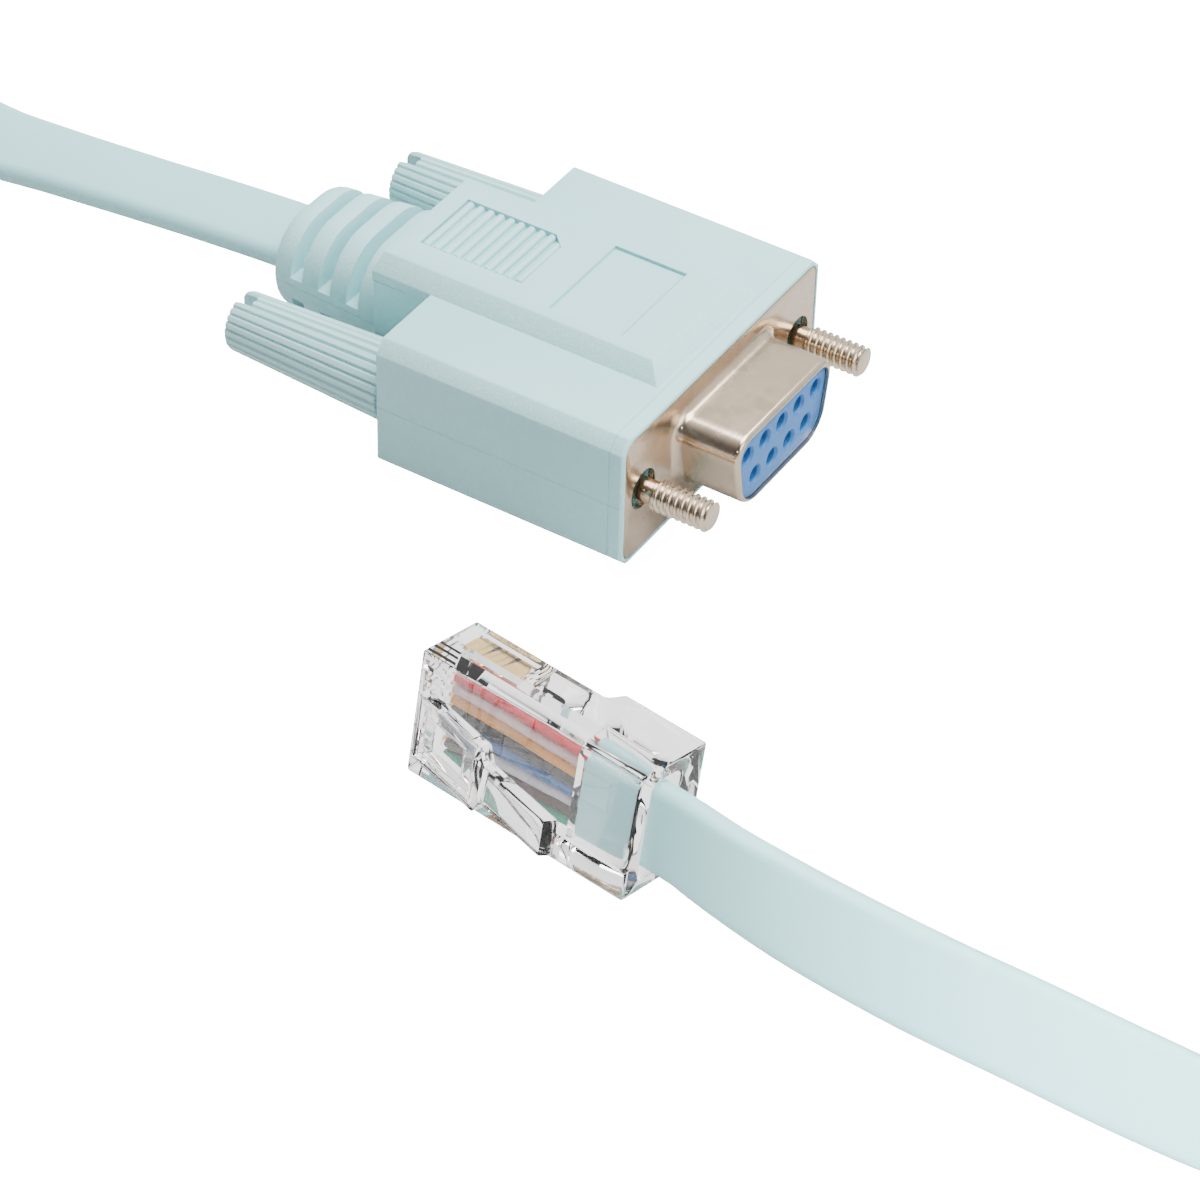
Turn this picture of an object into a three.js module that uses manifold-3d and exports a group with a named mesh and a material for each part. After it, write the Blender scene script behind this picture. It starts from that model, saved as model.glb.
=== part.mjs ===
// A console cable: a nine-way D connector with a moulded hood on one end, a flat cord,
// and a clear eight-way modular plug on the other end. Millimetres, +X the mating
// direction of the D connector, +Z up. Everything is modelled about the centre of the
// connector's flange and then stood on z = 0.
import * as THREE from 'three';
import { mergeVertices } from 'three/addons/utils/BufferGeometryUtils.js';
import Module from 'manifold-3d';

// Clearances
const CLEARANCE = 0.3; // between pieces that seat in or on each other
const EDGE_CLEARANCE = 0.15; // round the rim of the flange in its recess

// Nine-way D connector
const FLANGE_WIDTH = 30.7;
const FLANGE_HEIGHT = 12.4;
const FLANGE_CORNER = 1.2;
const SHEET = 0.5; // thickness of the drawn steel shell
const SHELL_WIDTH = 16.3; // outside, across the wide side
const SHELL_HEIGHT = 7.9;
const SHELL_CORNER = 2.5;
const SHELL_REACH = 6.2; // from the flange's face to the shell's lip
const SHELL_SLANT = THREE.MathUtils.degToRad(10);
const INSULATOR_SETBACK = 0.3; // behind the shell's lip
const INSULATOR_ROOT = 4; // behind the flange's face
const ROW_SPACING = 2.84;
const ROW_INSET = 2.61; // from the shell's side to the end contact of the upper row
const LONG_ROW = 5; // contacts in the upper row
const SHORT_ROW = 4;
const SOCKET_HOLE = 2.0;
const SOCKET_OUTSIDE = 1.4;
const SOCKET_BORE = 1.0;
const SOCKET_SETBACK = 0.8; // behind the insulator's face
const SOCKET_DEPTH = 6; // of the blind bore
const FLANGE_HOLE = 3.7;
const SCREW_INSET = 2.855; // from the flange's end to the screw's middle

// Moulded hood
const HOOD_RIM = 0.6; // plastic beyond each end of the flange
const HOOD_HEIGHT = 13.5;
const HOOD_BACK = 24.57; // from the flange's face to the hood's rear shoulders
const HOOD_CHAMFER = 1.2;
const KNOB_GAP = 1.445; // between the neck and each knob
const NECK_BACK = 30.6;
const PAD_RISE = 1.5; // the raised centre block, above and below
const PAD_BEVEL = 1.4;
const PAD_REAR_BEVEL = 0.4;
const PAD_WIDTH = 15.6;
const PAD_FRONT = 1.8; // from the flange's face to the foot of the bevel
const PANEL_DEPTH = 0.35; // the blank square panel
const PANEL_LENGTH = 7.3;
const PANEL_WIDTH = 10.6;
const PANEL_FRONT = 6.95;
const GRIP_FRONT = 18.2;
const GRIP_PITCH = 1.05;
const GRIP_GROOVE = 0.5;
const GRIP_GROOVES = 10;
const GRIP_WIDTH = 7.4;

// Strain relief, moulded in one with the hood
const RELIEF_BACK = 42.8;
const RELIEF_FRONT_WIDTH = 13.6;
const RELIEF_FRONT_HEIGHT = 11.6;
const RELIEF_REAR_WIDTH = 12.0;
const RELIEF_REAR_HEIGHT = 9.6;
const RELIEF_CORNER = 4.7;
const RELIEF_CORE_WIDTH = 9.6;
const RELIEF_CORE_HEIGHT = 4.6;
const RELIEF_WEB = 1.6; // solid band at mid height that the slots stop at
const SLOTS = 3;
const SLOT_WIDTH = 1.3;
const SLOT_PITCH = 3.1;
const SLOT_FRONT = 33.6; // middle of the slot nearest the hood

// Thumbscrews
const KNOB_LENGTH = 16.4;
const KNOB_FRONT_DIAMETER = 6.9;
const KNOB_REAR_DIAMETER = 5.6;
const KNOB_RIBS = 24;
const KNOB_RIB_DEPTH = 0.28;
const KNOB_SLOT_WIDTH = 1.3;
const KNOB_SLOT_DEPTH = 1.8;
const KNOB_CAP = 3.6; // plastic behind the end of the shaft
const SHAFT_DIAMETER = 2.84;
const SHAFT_REACH = 6.8; // from the flange's face to the screw's tip
const THREAD_PITCH = 0.635;
const THREAD_DEPTH = 0.3;
const THREAD_START = 1.3;
const SHAFT_NECK_DIAMETER = 2.1;
const SHAFT_NECK_BACK = 0.9;

// Flat cord
const CORD_WIDTH = 8.2;
const CORD_THICKNESS = 2.2;
const CORD_END_POINTS = 5; // on each rounded edge of the section

// Coil of the length that is put away, on edge, and its tie
const COIL_CENTRE = [71, 50.6];
const COIL_OUTSIDE = 43.1; // radius
const COIL_PITCH = 3.0; // from turn to turn
const COIL_TURNS = 4.25;
const TIE_WALL = 0.5;
const TIE_LENGTH = 7;
const TIE_CLEARANCE = 0.35;

// Modular plug, in its own frame: nose at x = 0, cord end at +X, latch side at -Y,
// its width along Z
const PLUG_LENGTH = 22.5;
const PLUG_WIDTH = 11.68;
const PLUG_NOSE_HEIGHT = 6.6;
const PLUG_REAR_HEIGHT = 8.1;
const PLUG_CONTACT_FACE = 3.3; // from the plug's centre plane, at its nose
const PLUG_STEP_START = 13.6; // where the contact side begins to rise towards the cord
const PLUG_STEP_END = 14.4;
const POCKET_START = 7.6; // clamp pocket in the contact side
const POCKET_END = 12.8;
const POCKET_WIDTH = 8.6;
const POCKET_FLOOR = 1.4; // from the plug's centre plane
const WAYS = 8;
const WAY_PITCH = 1.02;
const WIRE_DIAMETER = 0.88;
const WIRE_START = 2.4;
const JACKET_START = 15.8; // where the cord's jacket ends inside the plug
const BLADE_THICKNESS = 0.35;
const BLADE_START = 1.0;
const BLADE_END = 6.6;
const BLADE_SETBACK = 0.45; // from the contact face
const LATCH_ROOT = 1.6;
const LATCH_LENGTH = 17.2;
const LATCH_ROOT_WIDTH = 6.2;
const LATCH_TAIL_WIDTH = 3.4;
const LATCH_SHOULDER = 8.2; // along the latch from its root
const LATCH_THICKNESS = 1.1;
const LATCH_TILT = THREE.MathUtils.degToRad(13);
const PLUG_LEAN_DEGREES = 10; // rolled back about its length
const PLUG_LEAN = THREE.MathUtils.degToRad(PLUG_LEAN_DEGREES);
const PLUG_YAW = THREE.MathUtils.degToRad(-8);
const PLUG_EXIT = [21.6, -44.6]; // where its cord leaves it, seen from above

// Worked out
const CONTACT_PITCH = (SHELL_WIDTH - 2 * ROW_INSET) / (LONG_ROW - 1); // 2.77
const SCREW_SPACING = FLANGE_WIDTH - 2 * SCREW_INSET; // 24.99
const HOOD_WIDTH = FLANGE_WIDTH + 2 * HOOD_RIM;
const NECK_WIDTH = SCREW_SPACING - KNOB_FRONT_DIAMETER - 2 * KNOB_GAP;
const FLOOR = HOOD_HEIGHT / 2 + PAD_RISE; // from the flange's centre down to the floor
const SHIFT_X = (RELIEF_BACK - SHAFT_REACH) / 2;
const LATCH_FACE = PLUG_CONTACT_FACE - PLUG_NOSE_HEIGHT;
const REAR_FACE = LATCH_FACE + PLUG_REAR_HEIGHT; // the contact side at the cord end
const PLUG_HEIGHT = REAR_FACE * Math.sin(PLUG_LEAN) + (PLUG_WIDTH / 2) * Math.cos(PLUG_LEAN);
const COIL_LIFT = TIE_WALL + TIE_CLEARANCE; // the tie passes under the coil
const COIL_INSIDE = COIL_OUTSIDE - CORD_THICKNESS - COIL_PITCH * COIL_TURNS;
const ON_EDGE = 90; // roll of the cord standing on its edge, in degrees
const EDGE_HEIGHT = CORD_WIDTH / 2; // middle of a cord that stands on its edge
const OVER_COIL = COIL_LIFT + CORD_WIDTH + 2 * CLEARANCE + CORD_THICKNESS / 2;

// A place on the line of the plug's axis, a distance behind its cord end
const beyondPlug = (distance) => [
  PLUG_EXIT[0] + distance * Math.cos(PLUG_YAW),
  PLUG_EXIT[1] + distance * Math.sin(PLUG_YAW),
];

// Route points: x, y from the flange's centre, height above the floor, roll in degrees
const HOOD_RUN = [
  [-(RELIEF_BACK + CLEARANCE), 0, FLOOR, 0],
  [-52, 0, 7.6, 0],
  [-61, 0, 6.7, 0],
  [-70, 0, 5.8, -2],
  [-78, -0.1, 5.1, -10],
  [-85.5, 0.3, 4.5, -45],
  [-92.4, 2.4, EDGE_HEIGHT, -80],
  [-97.8, 7.6, EDGE_HEIGHT, -ON_EDGE],
  [-100.4, 14.8, EDGE_HEIGHT, -ON_EDGE],
  [-100.4, 22.4, EDGE_HEIGHT, -ON_EDGE],
  [-97.6, 29.8, EDGE_HEIGHT, -ON_EDGE],
  [-92, 36, EDGE_HEIGHT, -ON_EDGE],
  [-83.5, 42, EDGE_HEIGHT, -ON_EDGE],
  [-70, 51.2, EDGE_HEIGHT, -ON_EDGE],
  [-55, 62.2, EDGE_HEIGHT, -ON_EDGE],
  [-40, 73.4, EDGE_HEIGHT, -ON_EDGE],
  [-26, 83.4, EDGE_HEIGHT, -ON_EDGE],
  [-13, 90.2, EDGE_HEIGHT, -ON_EDGE],
  [1, 92.5, 4.2, -ON_EDGE],
  [20, 92.5, 4.5, -ON_EDGE],
  [40, 92.7, 4.8, -ON_EDGE],
  [57.3, 93, COIL_LIFT + EDGE_HEIGHT, -ON_EDGE],
];
const PLUG_RUN = [
  [99.8, 54, OVER_COIL, 0],
  [100, 45, OVER_COIL, 0],
  [99.9, 36, OVER_COIL, 0],
  [99.5, 27, OVER_COIL, 0],
  [99.1, 18, OVER_COIL, 0],
  [98.9, 9, OVER_COIL, 5],
  [98.8, 0, 9.1, 34],
  [98.5, -9, 6.4, 66],
  [97.8, -18, 4.5, 88],
  [95.7, -28.5, EDGE_HEIGHT, ON_EDGE],
  [90.1, -37.8, EDGE_HEIGHT, ON_EDGE + 3],
  [82, -43.4, 4.05, ON_EDGE + 12],
  [72.5, -45.5, 3.8, ON_EDGE + 26],
  [64, -45.6, 3.6, ON_EDGE + 34],
  [55, -45.4, 3.6, ON_EDGE + 36],
  [45, -45.4, 3.8, ON_EDGE + 33],
  [35, -45.4, 4.7, ON_EDGE + 24],
  [28, -45.3, 5.9, ON_EDGE + 14],
  [...beyondPlug(2.5), PLUG_HEIGHT, ON_EDGE + PLUG_LEAN_DEGREES],
  [...beyondPlug(CLEARANCE), PLUG_HEIGHT, ON_EDGE + PLUG_LEAN_DEGREES],
];

const wasm = await Module();
wasm.setup();

const material = (color, roughness, metalness = 0, opacity = 1) =>
  new THREE.MeshStandardMaterial({ color, roughness, metalness, opacity, transparent: opacity < 1 });
const MATERIALS = {
  vinyl: () => material(0xb4cdd0, 0.55),
  nickel: () => material(0xc9bfae, 0.28, 1),
  insulator: () => material(0x5a94c4, 0.5),
  gold: () => material(0xc9a24a, 0.3, 1),
  cord: () => material(0xc3dce1, 0.5),
  tie: () => material(0x2b2d30, 0.7),
  clear: () => material(0xe6e8e6, 0.1, 0, 0.4),
};
const WIRE_COLOURS = [0xd04a4c, 0xe9d9d6, 0xe0a63a, 0x2c2f33, 0x3c77b0, 0xcfd2d4, 0x6d5148, 0x3aa58a];

// Boolean cuts and joins between closed shapes
function solid(geometry) {
  const bare = geometry.index ? geometry.toNonIndexed() : geometry.clone();
  bare.deleteAttribute('normal');
  bare.deleteAttribute('uv');
  const merged = mergeVertices(bare, 1e-4);
  return new wasm.Manifold(
    new wasm.Mesh({
      numProp: 3,
      vertProperties: new Float32Array(merged.attributes.position.array),
      triVerts: new Uint32Array(merged.index.array),
    }),
  );
}

function geometryOf(manifold) {
  const { vertProperties, triVerts, numProp } = manifold.getMesh();
  const positions = new Float32Array((vertProperties.length / numProp) * 3);
  for (let i = 0; i < positions.length / 3; i += 1) {
    for (let axis = 0; axis < 3; axis += 1) {
      positions[3 * i + axis] = vertProperties[numProp * i + axis];
    }
  }
  const geometry = new THREE.BufferGeometry();
  geometry.setAttribute('position', new THREE.BufferAttribute(positions, 3));
  geometry.setIndex(new THREE.BufferAttribute(new Uint32Array(triVerts), 1));
  return geometry;
}

const join = (...shapes) => shapes.map(solid).reduce((a, b) => a.add(b));
const cut = (body, ...tools) => tools.map(solid).reduce((a, b) => a.subtract(b), body);

// Shapes that several pieces use
function box(x0, x1, y0, y1, z0, z1) {
  const geometry = new THREE.BoxGeometry(x1 - x0, y1 - y0, z1 - z0);
  return geometry.translate((x0 + x1) / 2, (y0 + y1) / 2, (z0 + z1) / 2);
}

function rod(radius, x0, x1, y, z, sides = 24) {
  const geometry = new THREE.CylinderGeometry(radius, radius, x1 - x0, sides);
  return geometry.rotateZ(-Math.PI / 2).translate((x0 + x1) / 2, y, z);
}

// A Shape drawn in Y and Z, pushed along X
function alongX(shape, x0, x1, steps = 1, curveSegments = 6) {
  const options = { depth: x1 - x0, steps, bevelEnabled: false, curveSegments };
  const geometry = new THREE.ExtrudeGeometry(shape, options);
  const turn = new THREE.Matrix4().set(0, 0, 1, x0, 1, 0, 0, 0, 0, 1, 0, 0, 0, 0, 0, 1);
  return geometry.applyMatrix4(turn);
}

function roundedRect(width, height, radius) {
  const w = width / 2;
  const h = height / 2;
  const shape = new THREE.Shape();
  shape.moveTo(-w + radius, -h);
  shape.lineTo(w - radius, -h);
  shape.absarc(w - radius, -h + radius, radius, -Math.PI / 2, 0);
  shape.lineTo(w, h - radius);
  shape.absarc(w - radius, h - radius, radius, 0, Math.PI / 2);
  shape.lineTo(-w + radius, h);
  shape.absarc(-w + radius, h - radius, radius, Math.PI / 2, Math.PI);
  shape.lineTo(-w, -h + radius);
  shape.absarc(-w + radius, -h + radius, radius, Math.PI, 1.5 * Math.PI);
  return shape;
}

// The D outline, wide side up, moved inward by inset
function dShape(inset) {
  const half = SHELL_HEIGHT / 2 - inset;
  const radius = Math.max(SHELL_CORNER - inset, 0.4);
  const slope = Math.tan(SHELL_SLANT);
  const middle = SHELL_WIDTH / 2 - (SHELL_HEIGHT / 2) * slope - inset / Math.cos(SHELL_SLANT);
  const corners = [
    [-(middle - half * slope), -half],
    [middle - half * slope, -half],
    [middle + half * slope, half],
    [-(middle + half * slope), half],
  ];
  return filleted(corners, radius);
}

// A closed outline with every corner rounded to one radius
function filleted(corners, radius) {
  const shape = new THREE.Shape();
  const points = corners.map(([x, y]) => new THREE.Vector2(x, y));
  points.forEach((corner, i) => {
    const before = points[(i + points.length - 1) % points.length].clone().sub(corner).normalize();
    const after = points[(i + 1) % points.length].clone().sub(corner).normalize();
    const half = Math.acos(THREE.MathUtils.clamp(before.dot(after), -1, 1)) / 2;
    const back = radius / Math.tan(half);
    const centre = before.clone().add(after).normalize().multiplyScalar(radius / Math.sin(half)).add(corner);
    const from = before.multiplyScalar(back).add(corner);
    const to = after.multiplyScalar(back).add(corner);
    if (i === 0) shape.moveTo(from.x, from.y);
    else shape.lineTo(from.x, from.y);
    const startAngle = Math.atan2(from.y - centre.y, from.x - centre.x);
    const endAngle = Math.atan2(to.y - centre.y, to.x - centre.x);
    shape.absarc(centre.x, centre.y, radius, startAngle, endAngle, false);
  });
  return shape;
}

// Moves every vertex of a geometry by a function of its place
function reshaped(geometry, move) {
  const place = geometry.attributes.position;
  const point = new THREE.Vector3();
  for (let i = 0; i < place.count; i += 1) {
    point.fromBufferAttribute(place, i);
    move(point);
    place.setXYZ(i, point.x, point.y, point.z);
  }
  return geometry;
}

// Hood: block, neck, raised pads, strain relief, recesses and bores
function hoodBlock() {
  const w = HOOD_WIDTH / 2;
  const h = HOOD_HEIGHT / 2;
  const c = HOOD_CHAMFER;
  const corners = [[-w + c, -h], [w - c, -h], [w, -h + c], [w, h - c], [w - c, h], [-w + c, h], [-w, h - c], [-w, -h + c]];
  return alongX(new THREE.Shape(corners.map(([y, z]) => new THREE.Vector2(y, z))), -HOOD_BACK, 0);
}

function raisedPads() {
  const foot = HOOD_HEIGHT / 2;
  const top = foot + PAD_RISE;
  const reach = NECK_BACK - PAD_FRONT;
  return [1, -1].map((side) => {
    const pad = box(-NECK_BACK, -PAD_FRONT, -PAD_WIDTH / 2, PAD_WIDTH / 2, 0, PAD_RISE);
    reshaped(pad, (p) => {
      if (p.z < PAD_RISE / 2) return;
      const atFront = p.x > -NECK_BACK + reach / 2;
      p.x += atFront ? -PAD_BEVEL : PAD_REAR_BEVEL;
      p.y -= Math.sign(p.y) * PAD_BEVEL;
    });
    // The foot goes 1 mm into the block, so that the two join
    const root = box(-NECK_BACK, -PAD_FRONT, -PAD_WIDTH / 2, PAD_WIDTH / 2, -1, 0);
    const whole = solid(pad).add(solid(root));
    const placed = geometryOf(whole);
    if (side < 0) placed.rotateX(Math.PI);
    return placed.translate(0, 0, side * (top - PAD_RISE));
  });
}

function strainRelief() {
  const section = roundedRect(RELIEF_FRONT_WIDTH, RELIEF_FRONT_HEIGHT, RELIEF_CORNER);
  const front = -NECK_BACK + 1;
  const relief = alongX(section, -RELIEF_BACK, front);
  const length = front + RELIEF_BACK;
  reshaped(relief, (p) => {
    const t = (front - p.x) / length;
    p.y *= THREE.MathUtils.lerp(1, RELIEF_REAR_WIDTH / RELIEF_FRONT_WIDTH, t);
    p.z *= THREE.MathUtils.lerp(1, RELIEF_REAR_HEIGHT / RELIEF_FRONT_HEIGHT, t);
  });
  let body = solid(relief);
  const core = solid(
    alongX(roundedRect(RELIEF_CORE_WIDTH, RELIEF_CORE_HEIGHT, RELIEF_CORE_HEIGHT / 2 - 0.1), -RELIEF_BACK - 1, front),
  );
  for (let i = 0; i < SLOTS; i += 1) {
    const middle = -(SLOT_FRONT + i * SLOT_PITCH);
    for (const side of [1, -1]) {
      const [z0, z1] = side > 0 ? [RELIEF_WEB / 2, FLOOR] : [-FLOOR, -RELIEF_WEB / 2];
      const slot = box(middle - SLOT_WIDTH / 2, middle + SLOT_WIDTH / 2, -NECK_WIDTH, NECK_WIDTH, z0, z1);
      body = body.subtract(solid(slot).subtract(core));
    }
  }
  return body;
}

function gripGrooves() {
  const top = HOOD_HEIGHT / 2 + PAD_RISE;
  const grooves = [];
  for (let i = 0; i < GRIP_GROOVES; i += 1) {
    const x = -(GRIP_FRONT + i * GRIP_PITCH);
    grooves.push(
      box(x - GRIP_GROOVE, x, -GRIP_WIDTH / 2, GRIP_WIDTH / 2, top - PANEL_DEPTH, top + 1),
    );
  }
  return grooves;
}

function hood() {
  const neck = box(-NECK_BACK, -HOOD_BACK / 2, -NECK_WIDTH / 2, NECK_WIDTH / 2, -HOOD_HEIGHT / 2, HOOD_HEIGHT / 2);
  const body = join(hoodBlock(), neck, ...raisedPads()).add(strainRelief());
  const recess = alongX(
    roundedRect(FLANGE_WIDTH + 2 * EDGE_CLEARANCE, FLANGE_HEIGHT + 2 * EDGE_CLEARANCE, FLANGE_CORNER),
    -(SHEET + CLEARANCE),
    1,
  );
  const pocket = alongX(dShape(SHEET), -(INSULATOR_ROOT + CLEARANCE), 1);
  const top = HOOD_HEIGHT / 2 + PAD_RISE;
  const panel = box(
    -(PANEL_FRONT + PANEL_LENGTH), -PANEL_FRONT, -PANEL_WIDTH / 2, PANEL_WIDTH / 2, top - PANEL_DEPTH, top + 1,
  );
  const bores = [1, -1].map((side) =>
    rod(SHAFT_DIAMETER / 2 + CLEARANCE, -HOOD_BACK - 1, 1, (side * SCREW_SPACING) / 2, 0),
  );
  return geometryOf(cut(body, recess, pocket, panel, ...bores, ...gripGrooves()));
}

// D connector
function dsubShell() {
  const flange = alongX(roundedRect(FLANGE_WIDTH, FLANGE_HEIGHT, FLANGE_CORNER), -SHEET, 0);
  const wall = alongX(dShape(0), -SHEET, SHELL_REACH);
  const inside = alongX(dShape(SHEET), -1, SHELL_REACH + 1);
  const holes = [1, -1].map((side) => rod(FLANGE_HOLE / 2, -1, 1, (side * SCREW_SPACING) / 2, 0));
  return geometryOf(cut(join(flange, wall), inside, ...holes));
}

// Y and Z of the contacts, the long row on top
function contactPlaces() {
  const places = [];
  for (const [count, z] of [[LONG_ROW, ROW_SPACING / 2], [SHORT_ROW, -ROW_SPACING / 2]]) {
    for (let i = 0; i < count; i += 1) {
      places.push([(i - (count - 1) / 2) * CONTACT_PITCH, z]);
    }
  }
  return places;
}

const INSULATOR_FACE = SHELL_REACH - INSULATOR_SETBACK;

function insulator() {
  const block = solid(alongX(dShape(SHEET + CLEARANCE), -INSULATOR_ROOT, INSULATOR_FACE));
  const holes = contactPlaces().map(([y, z]) =>
    rod(SOCKET_HOLE / 2, -INSULATOR_ROOT + 1, INSULATOR_FACE + 1, y, z, 12),
  );
  return geometryOf(cut(block, ...holes));
}

function socketContact(y, z) {
  const front = INSULATOR_FACE - SOCKET_SETBACK;
  const back = -INSULATOR_ROOT + 1 + CLEARANCE;
  const profile = [
    [0, back],
    [SOCKET_OUTSIDE / 2, back],
    [SOCKET_OUTSIDE / 2, front],
    [SOCKET_BORE / 2, front],
    [SOCKET_BORE / 2, front - SOCKET_DEPTH],
    [0, front - SOCKET_DEPTH],
  ].map(([r, x]) => new THREE.Vector2(r, x));
  return new THREE.LatheGeometry(profile, 10).rotateZ(-Math.PI / 2).translate(0, y, z);
}

// Thumbscrews
const KNOB_FRONT = -(HOOD_BACK + CLEARANCE);
const KNOB_REAR = KNOB_FRONT - KNOB_LENGTH;
const SHAFT_REAR = KNOB_REAR + KNOB_CAP;

function knob() {
  const shape = new THREE.Shape();
  const outside = KNOB_FRONT_DIAMETER / 2;
  for (let i = 0; i < 2 * KNOB_RIBS; i += 1) {
    const radius = i % 2 ? outside - KNOB_RIB_DEPTH : outside;
    const angle = (i * Math.PI) / KNOB_RIBS;
    const point = [radius * Math.cos(angle), radius * Math.sin(angle)];
    if (i === 0) shape.moveTo(...point);
    else shape.lineTo(...point);
  }
  const body = reshaped(alongX(shape, KNOB_REAR, KNOB_FRONT), (p) => {
    const t = (KNOB_FRONT - p.x) / KNOB_LENGTH;
    const scale = THREE.MathUtils.lerp(1, KNOB_REAR_DIAMETER / KNOB_FRONT_DIAMETER, t);
    p.y *= scale;
    p.z *= scale;
  });
  const bore = rod(SHAFT_DIAMETER / 2 + CLEARANCE, SHAFT_REAR - CLEARANCE, KNOB_FRONT + 1, 0, 0, 16);
  const slot = box(
    KNOB_REAR - 1, KNOB_REAR + KNOB_SLOT_DEPTH, -KNOB_SLOT_WIDTH / 2, KNOB_SLOT_WIDTH / 2, -outside - 1, outside + 1,
  );
  return geometryOf(cut(solid(body), bore, slot));
}

function screwShaft() {
  const r = SHAFT_DIAMETER / 2;
  const profile = [
    [0, SHAFT_REAR],
    [r, SHAFT_REAR],
    [r, -SHAFT_NECK_BACK],
    [SHAFT_NECK_DIAMETER / 2, -SHAFT_NECK_BACK],
    [SHAFT_NECK_DIAMETER / 2, THREAD_START - THREAD_PITCH / 2],
  ];
  const turns = Math.floor((SHAFT_REACH - THREAD_START) / THREAD_PITCH);
  for (let i = 0; i < turns; i += 1) {
    const x = THREAD_START + i * THREAD_PITCH;
    profile.push([r - THREAD_DEPTH, x - THREAD_PITCH / 4]);
    profile.push([r, x]);
    profile.push([r, x + THREAD_PITCH / 4]);
    profile.push([r - THREAD_DEPTH, x + THREAD_PITCH / 2]);
  }
  profile.push([r - THREAD_DEPTH, SHAFT_REACH]);
  profile.push([0, SHAFT_REACH]);
  const points = profile.map(([radius, x]) => new THREE.Vector2(radius, x));
  return new THREE.LatheGeometry(points, 14).rotateZ(-Math.PI / 2);
}

// Cord: a flat section with round edges, swept along a route with a roll at each point
function cordSection() {
  const flat = (CORD_WIDTH - CORD_THICKNESS) / 2;
  const r = CORD_THICKNESS / 2;
  const points = [];
  for (const side of [1, -1]) {
    for (let i = 0; i < CORD_END_POINTS; i += 1) {
      const angle = (i / (CORD_END_POINTS - 1) - 0.5) * Math.PI + (side > 0 ? 0 : Math.PI);
      points.push(new THREE.Vector2(side * flat + r * Math.cos(angle), r * Math.sin(angle)));
    }
  }
  return new THREE.Shape(points);
}

function cordRun(route, steps) {
  const lifted = route.map(([x, y, height]) => new THREE.Vector3(x, y, height - FLOOR));
  const curve = new THREE.CatmullRomCurve3(lifted, false, 'centripetal');
  const rolls = route.map(([, , , roll]) => THREE.MathUtils.degToRad(roll));
  const options = { depth: 1, steps, bevelEnabled: false };
  const straight = new THREE.ExtrudeGeometry(cordSection(), options);
  const up = new THREE.Vector3(0, 0, 1);
  return reshaped(straight, (p) => {
    const along = THREE.MathUtils.clamp(p.z, 0, 1);
    const t = curve.getUtoTmapping(along);
    const place = t * (route.length - 1);
    const i = Math.min(Math.floor(place), route.length - 2);
    const roll = THREE.MathUtils.lerp(rolls[i], rolls[i + 1], place - i);
    const centre = curve.getPoint(t);
    const ahead = curve.getTangent(t);
    const level = up.clone().cross(ahead).normalize();
    const above = ahead.clone().cross(level);
    const wide = level.clone().multiplyScalar(Math.cos(roll)).addScaledVector(above, Math.sin(roll));
    const thin = level.clone().multiplyScalar(-Math.sin(roll)).addScaledVector(above, Math.cos(roll));
    p.copy(centre.addScaledVector(wide, p.x).addScaledVector(thin, p.y));
  });
}

function coilRing() {
  const z0 = COIL_LIFT - FLOOR;
  const z1 = z0 + CORD_WIDTH;
  const profile = [[COIL_INSIDE, z0], [COIL_OUTSIDE, z0], [COIL_OUTSIDE, z1], [COIL_INSIDE, z1], [COIL_INSIDE, z0]];
  const points = profile.map(([r, z]) => new THREE.Vector2(r, z));
  return new THREE.LatheGeometry(points, 40).rotateX(Math.PI / 2).translate(COIL_CENTRE[0], COIL_CENTRE[1], 0);
}

function coilTie() {
  const inner = [COIL_INSIDE - TIE_CLEARANCE, COIL_OUTSIDE + TIE_CLEARANCE];
  const z0 = COIL_LIFT - TIE_CLEARANCE - FLOOR;
  const z1 = COIL_LIFT + CORD_WIDTH + TIE_CLEARANCE - FLOOR;
  const half = TIE_LENGTH / 2;
  const band = box(-inner[1] - TIE_WALL, -inner[0] + TIE_WALL, -half, half, z0 - TIE_WALL, z1 + TIE_WALL);
  const inside = box(-inner[1], -inner[0], -half - 1, half + 1, z0, z1);
  return geometryOf(cut(solid(band), inside)).translate(COIL_CENTRE[0], COIL_CENTRE[1], 0);
}

// Modular plug
const wayPlace = (i) => ((WAYS - 1) / 2 - i) * WAY_PITCH; // the first wire is on the upper side

// A Shape drawn in X and Y, pushed along Z between two heights
function alongZ(points, z0, z1) {
  const shape = new THREE.Shape(points.map(([x, y]) => new THREE.Vector2(x, y)));
  const options = { depth: z1 - z0, steps: 1, bevelEnabled: false };
  return new THREE.ExtrudeGeometry(shape, options).translate(0, 0, z0);
}

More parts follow.
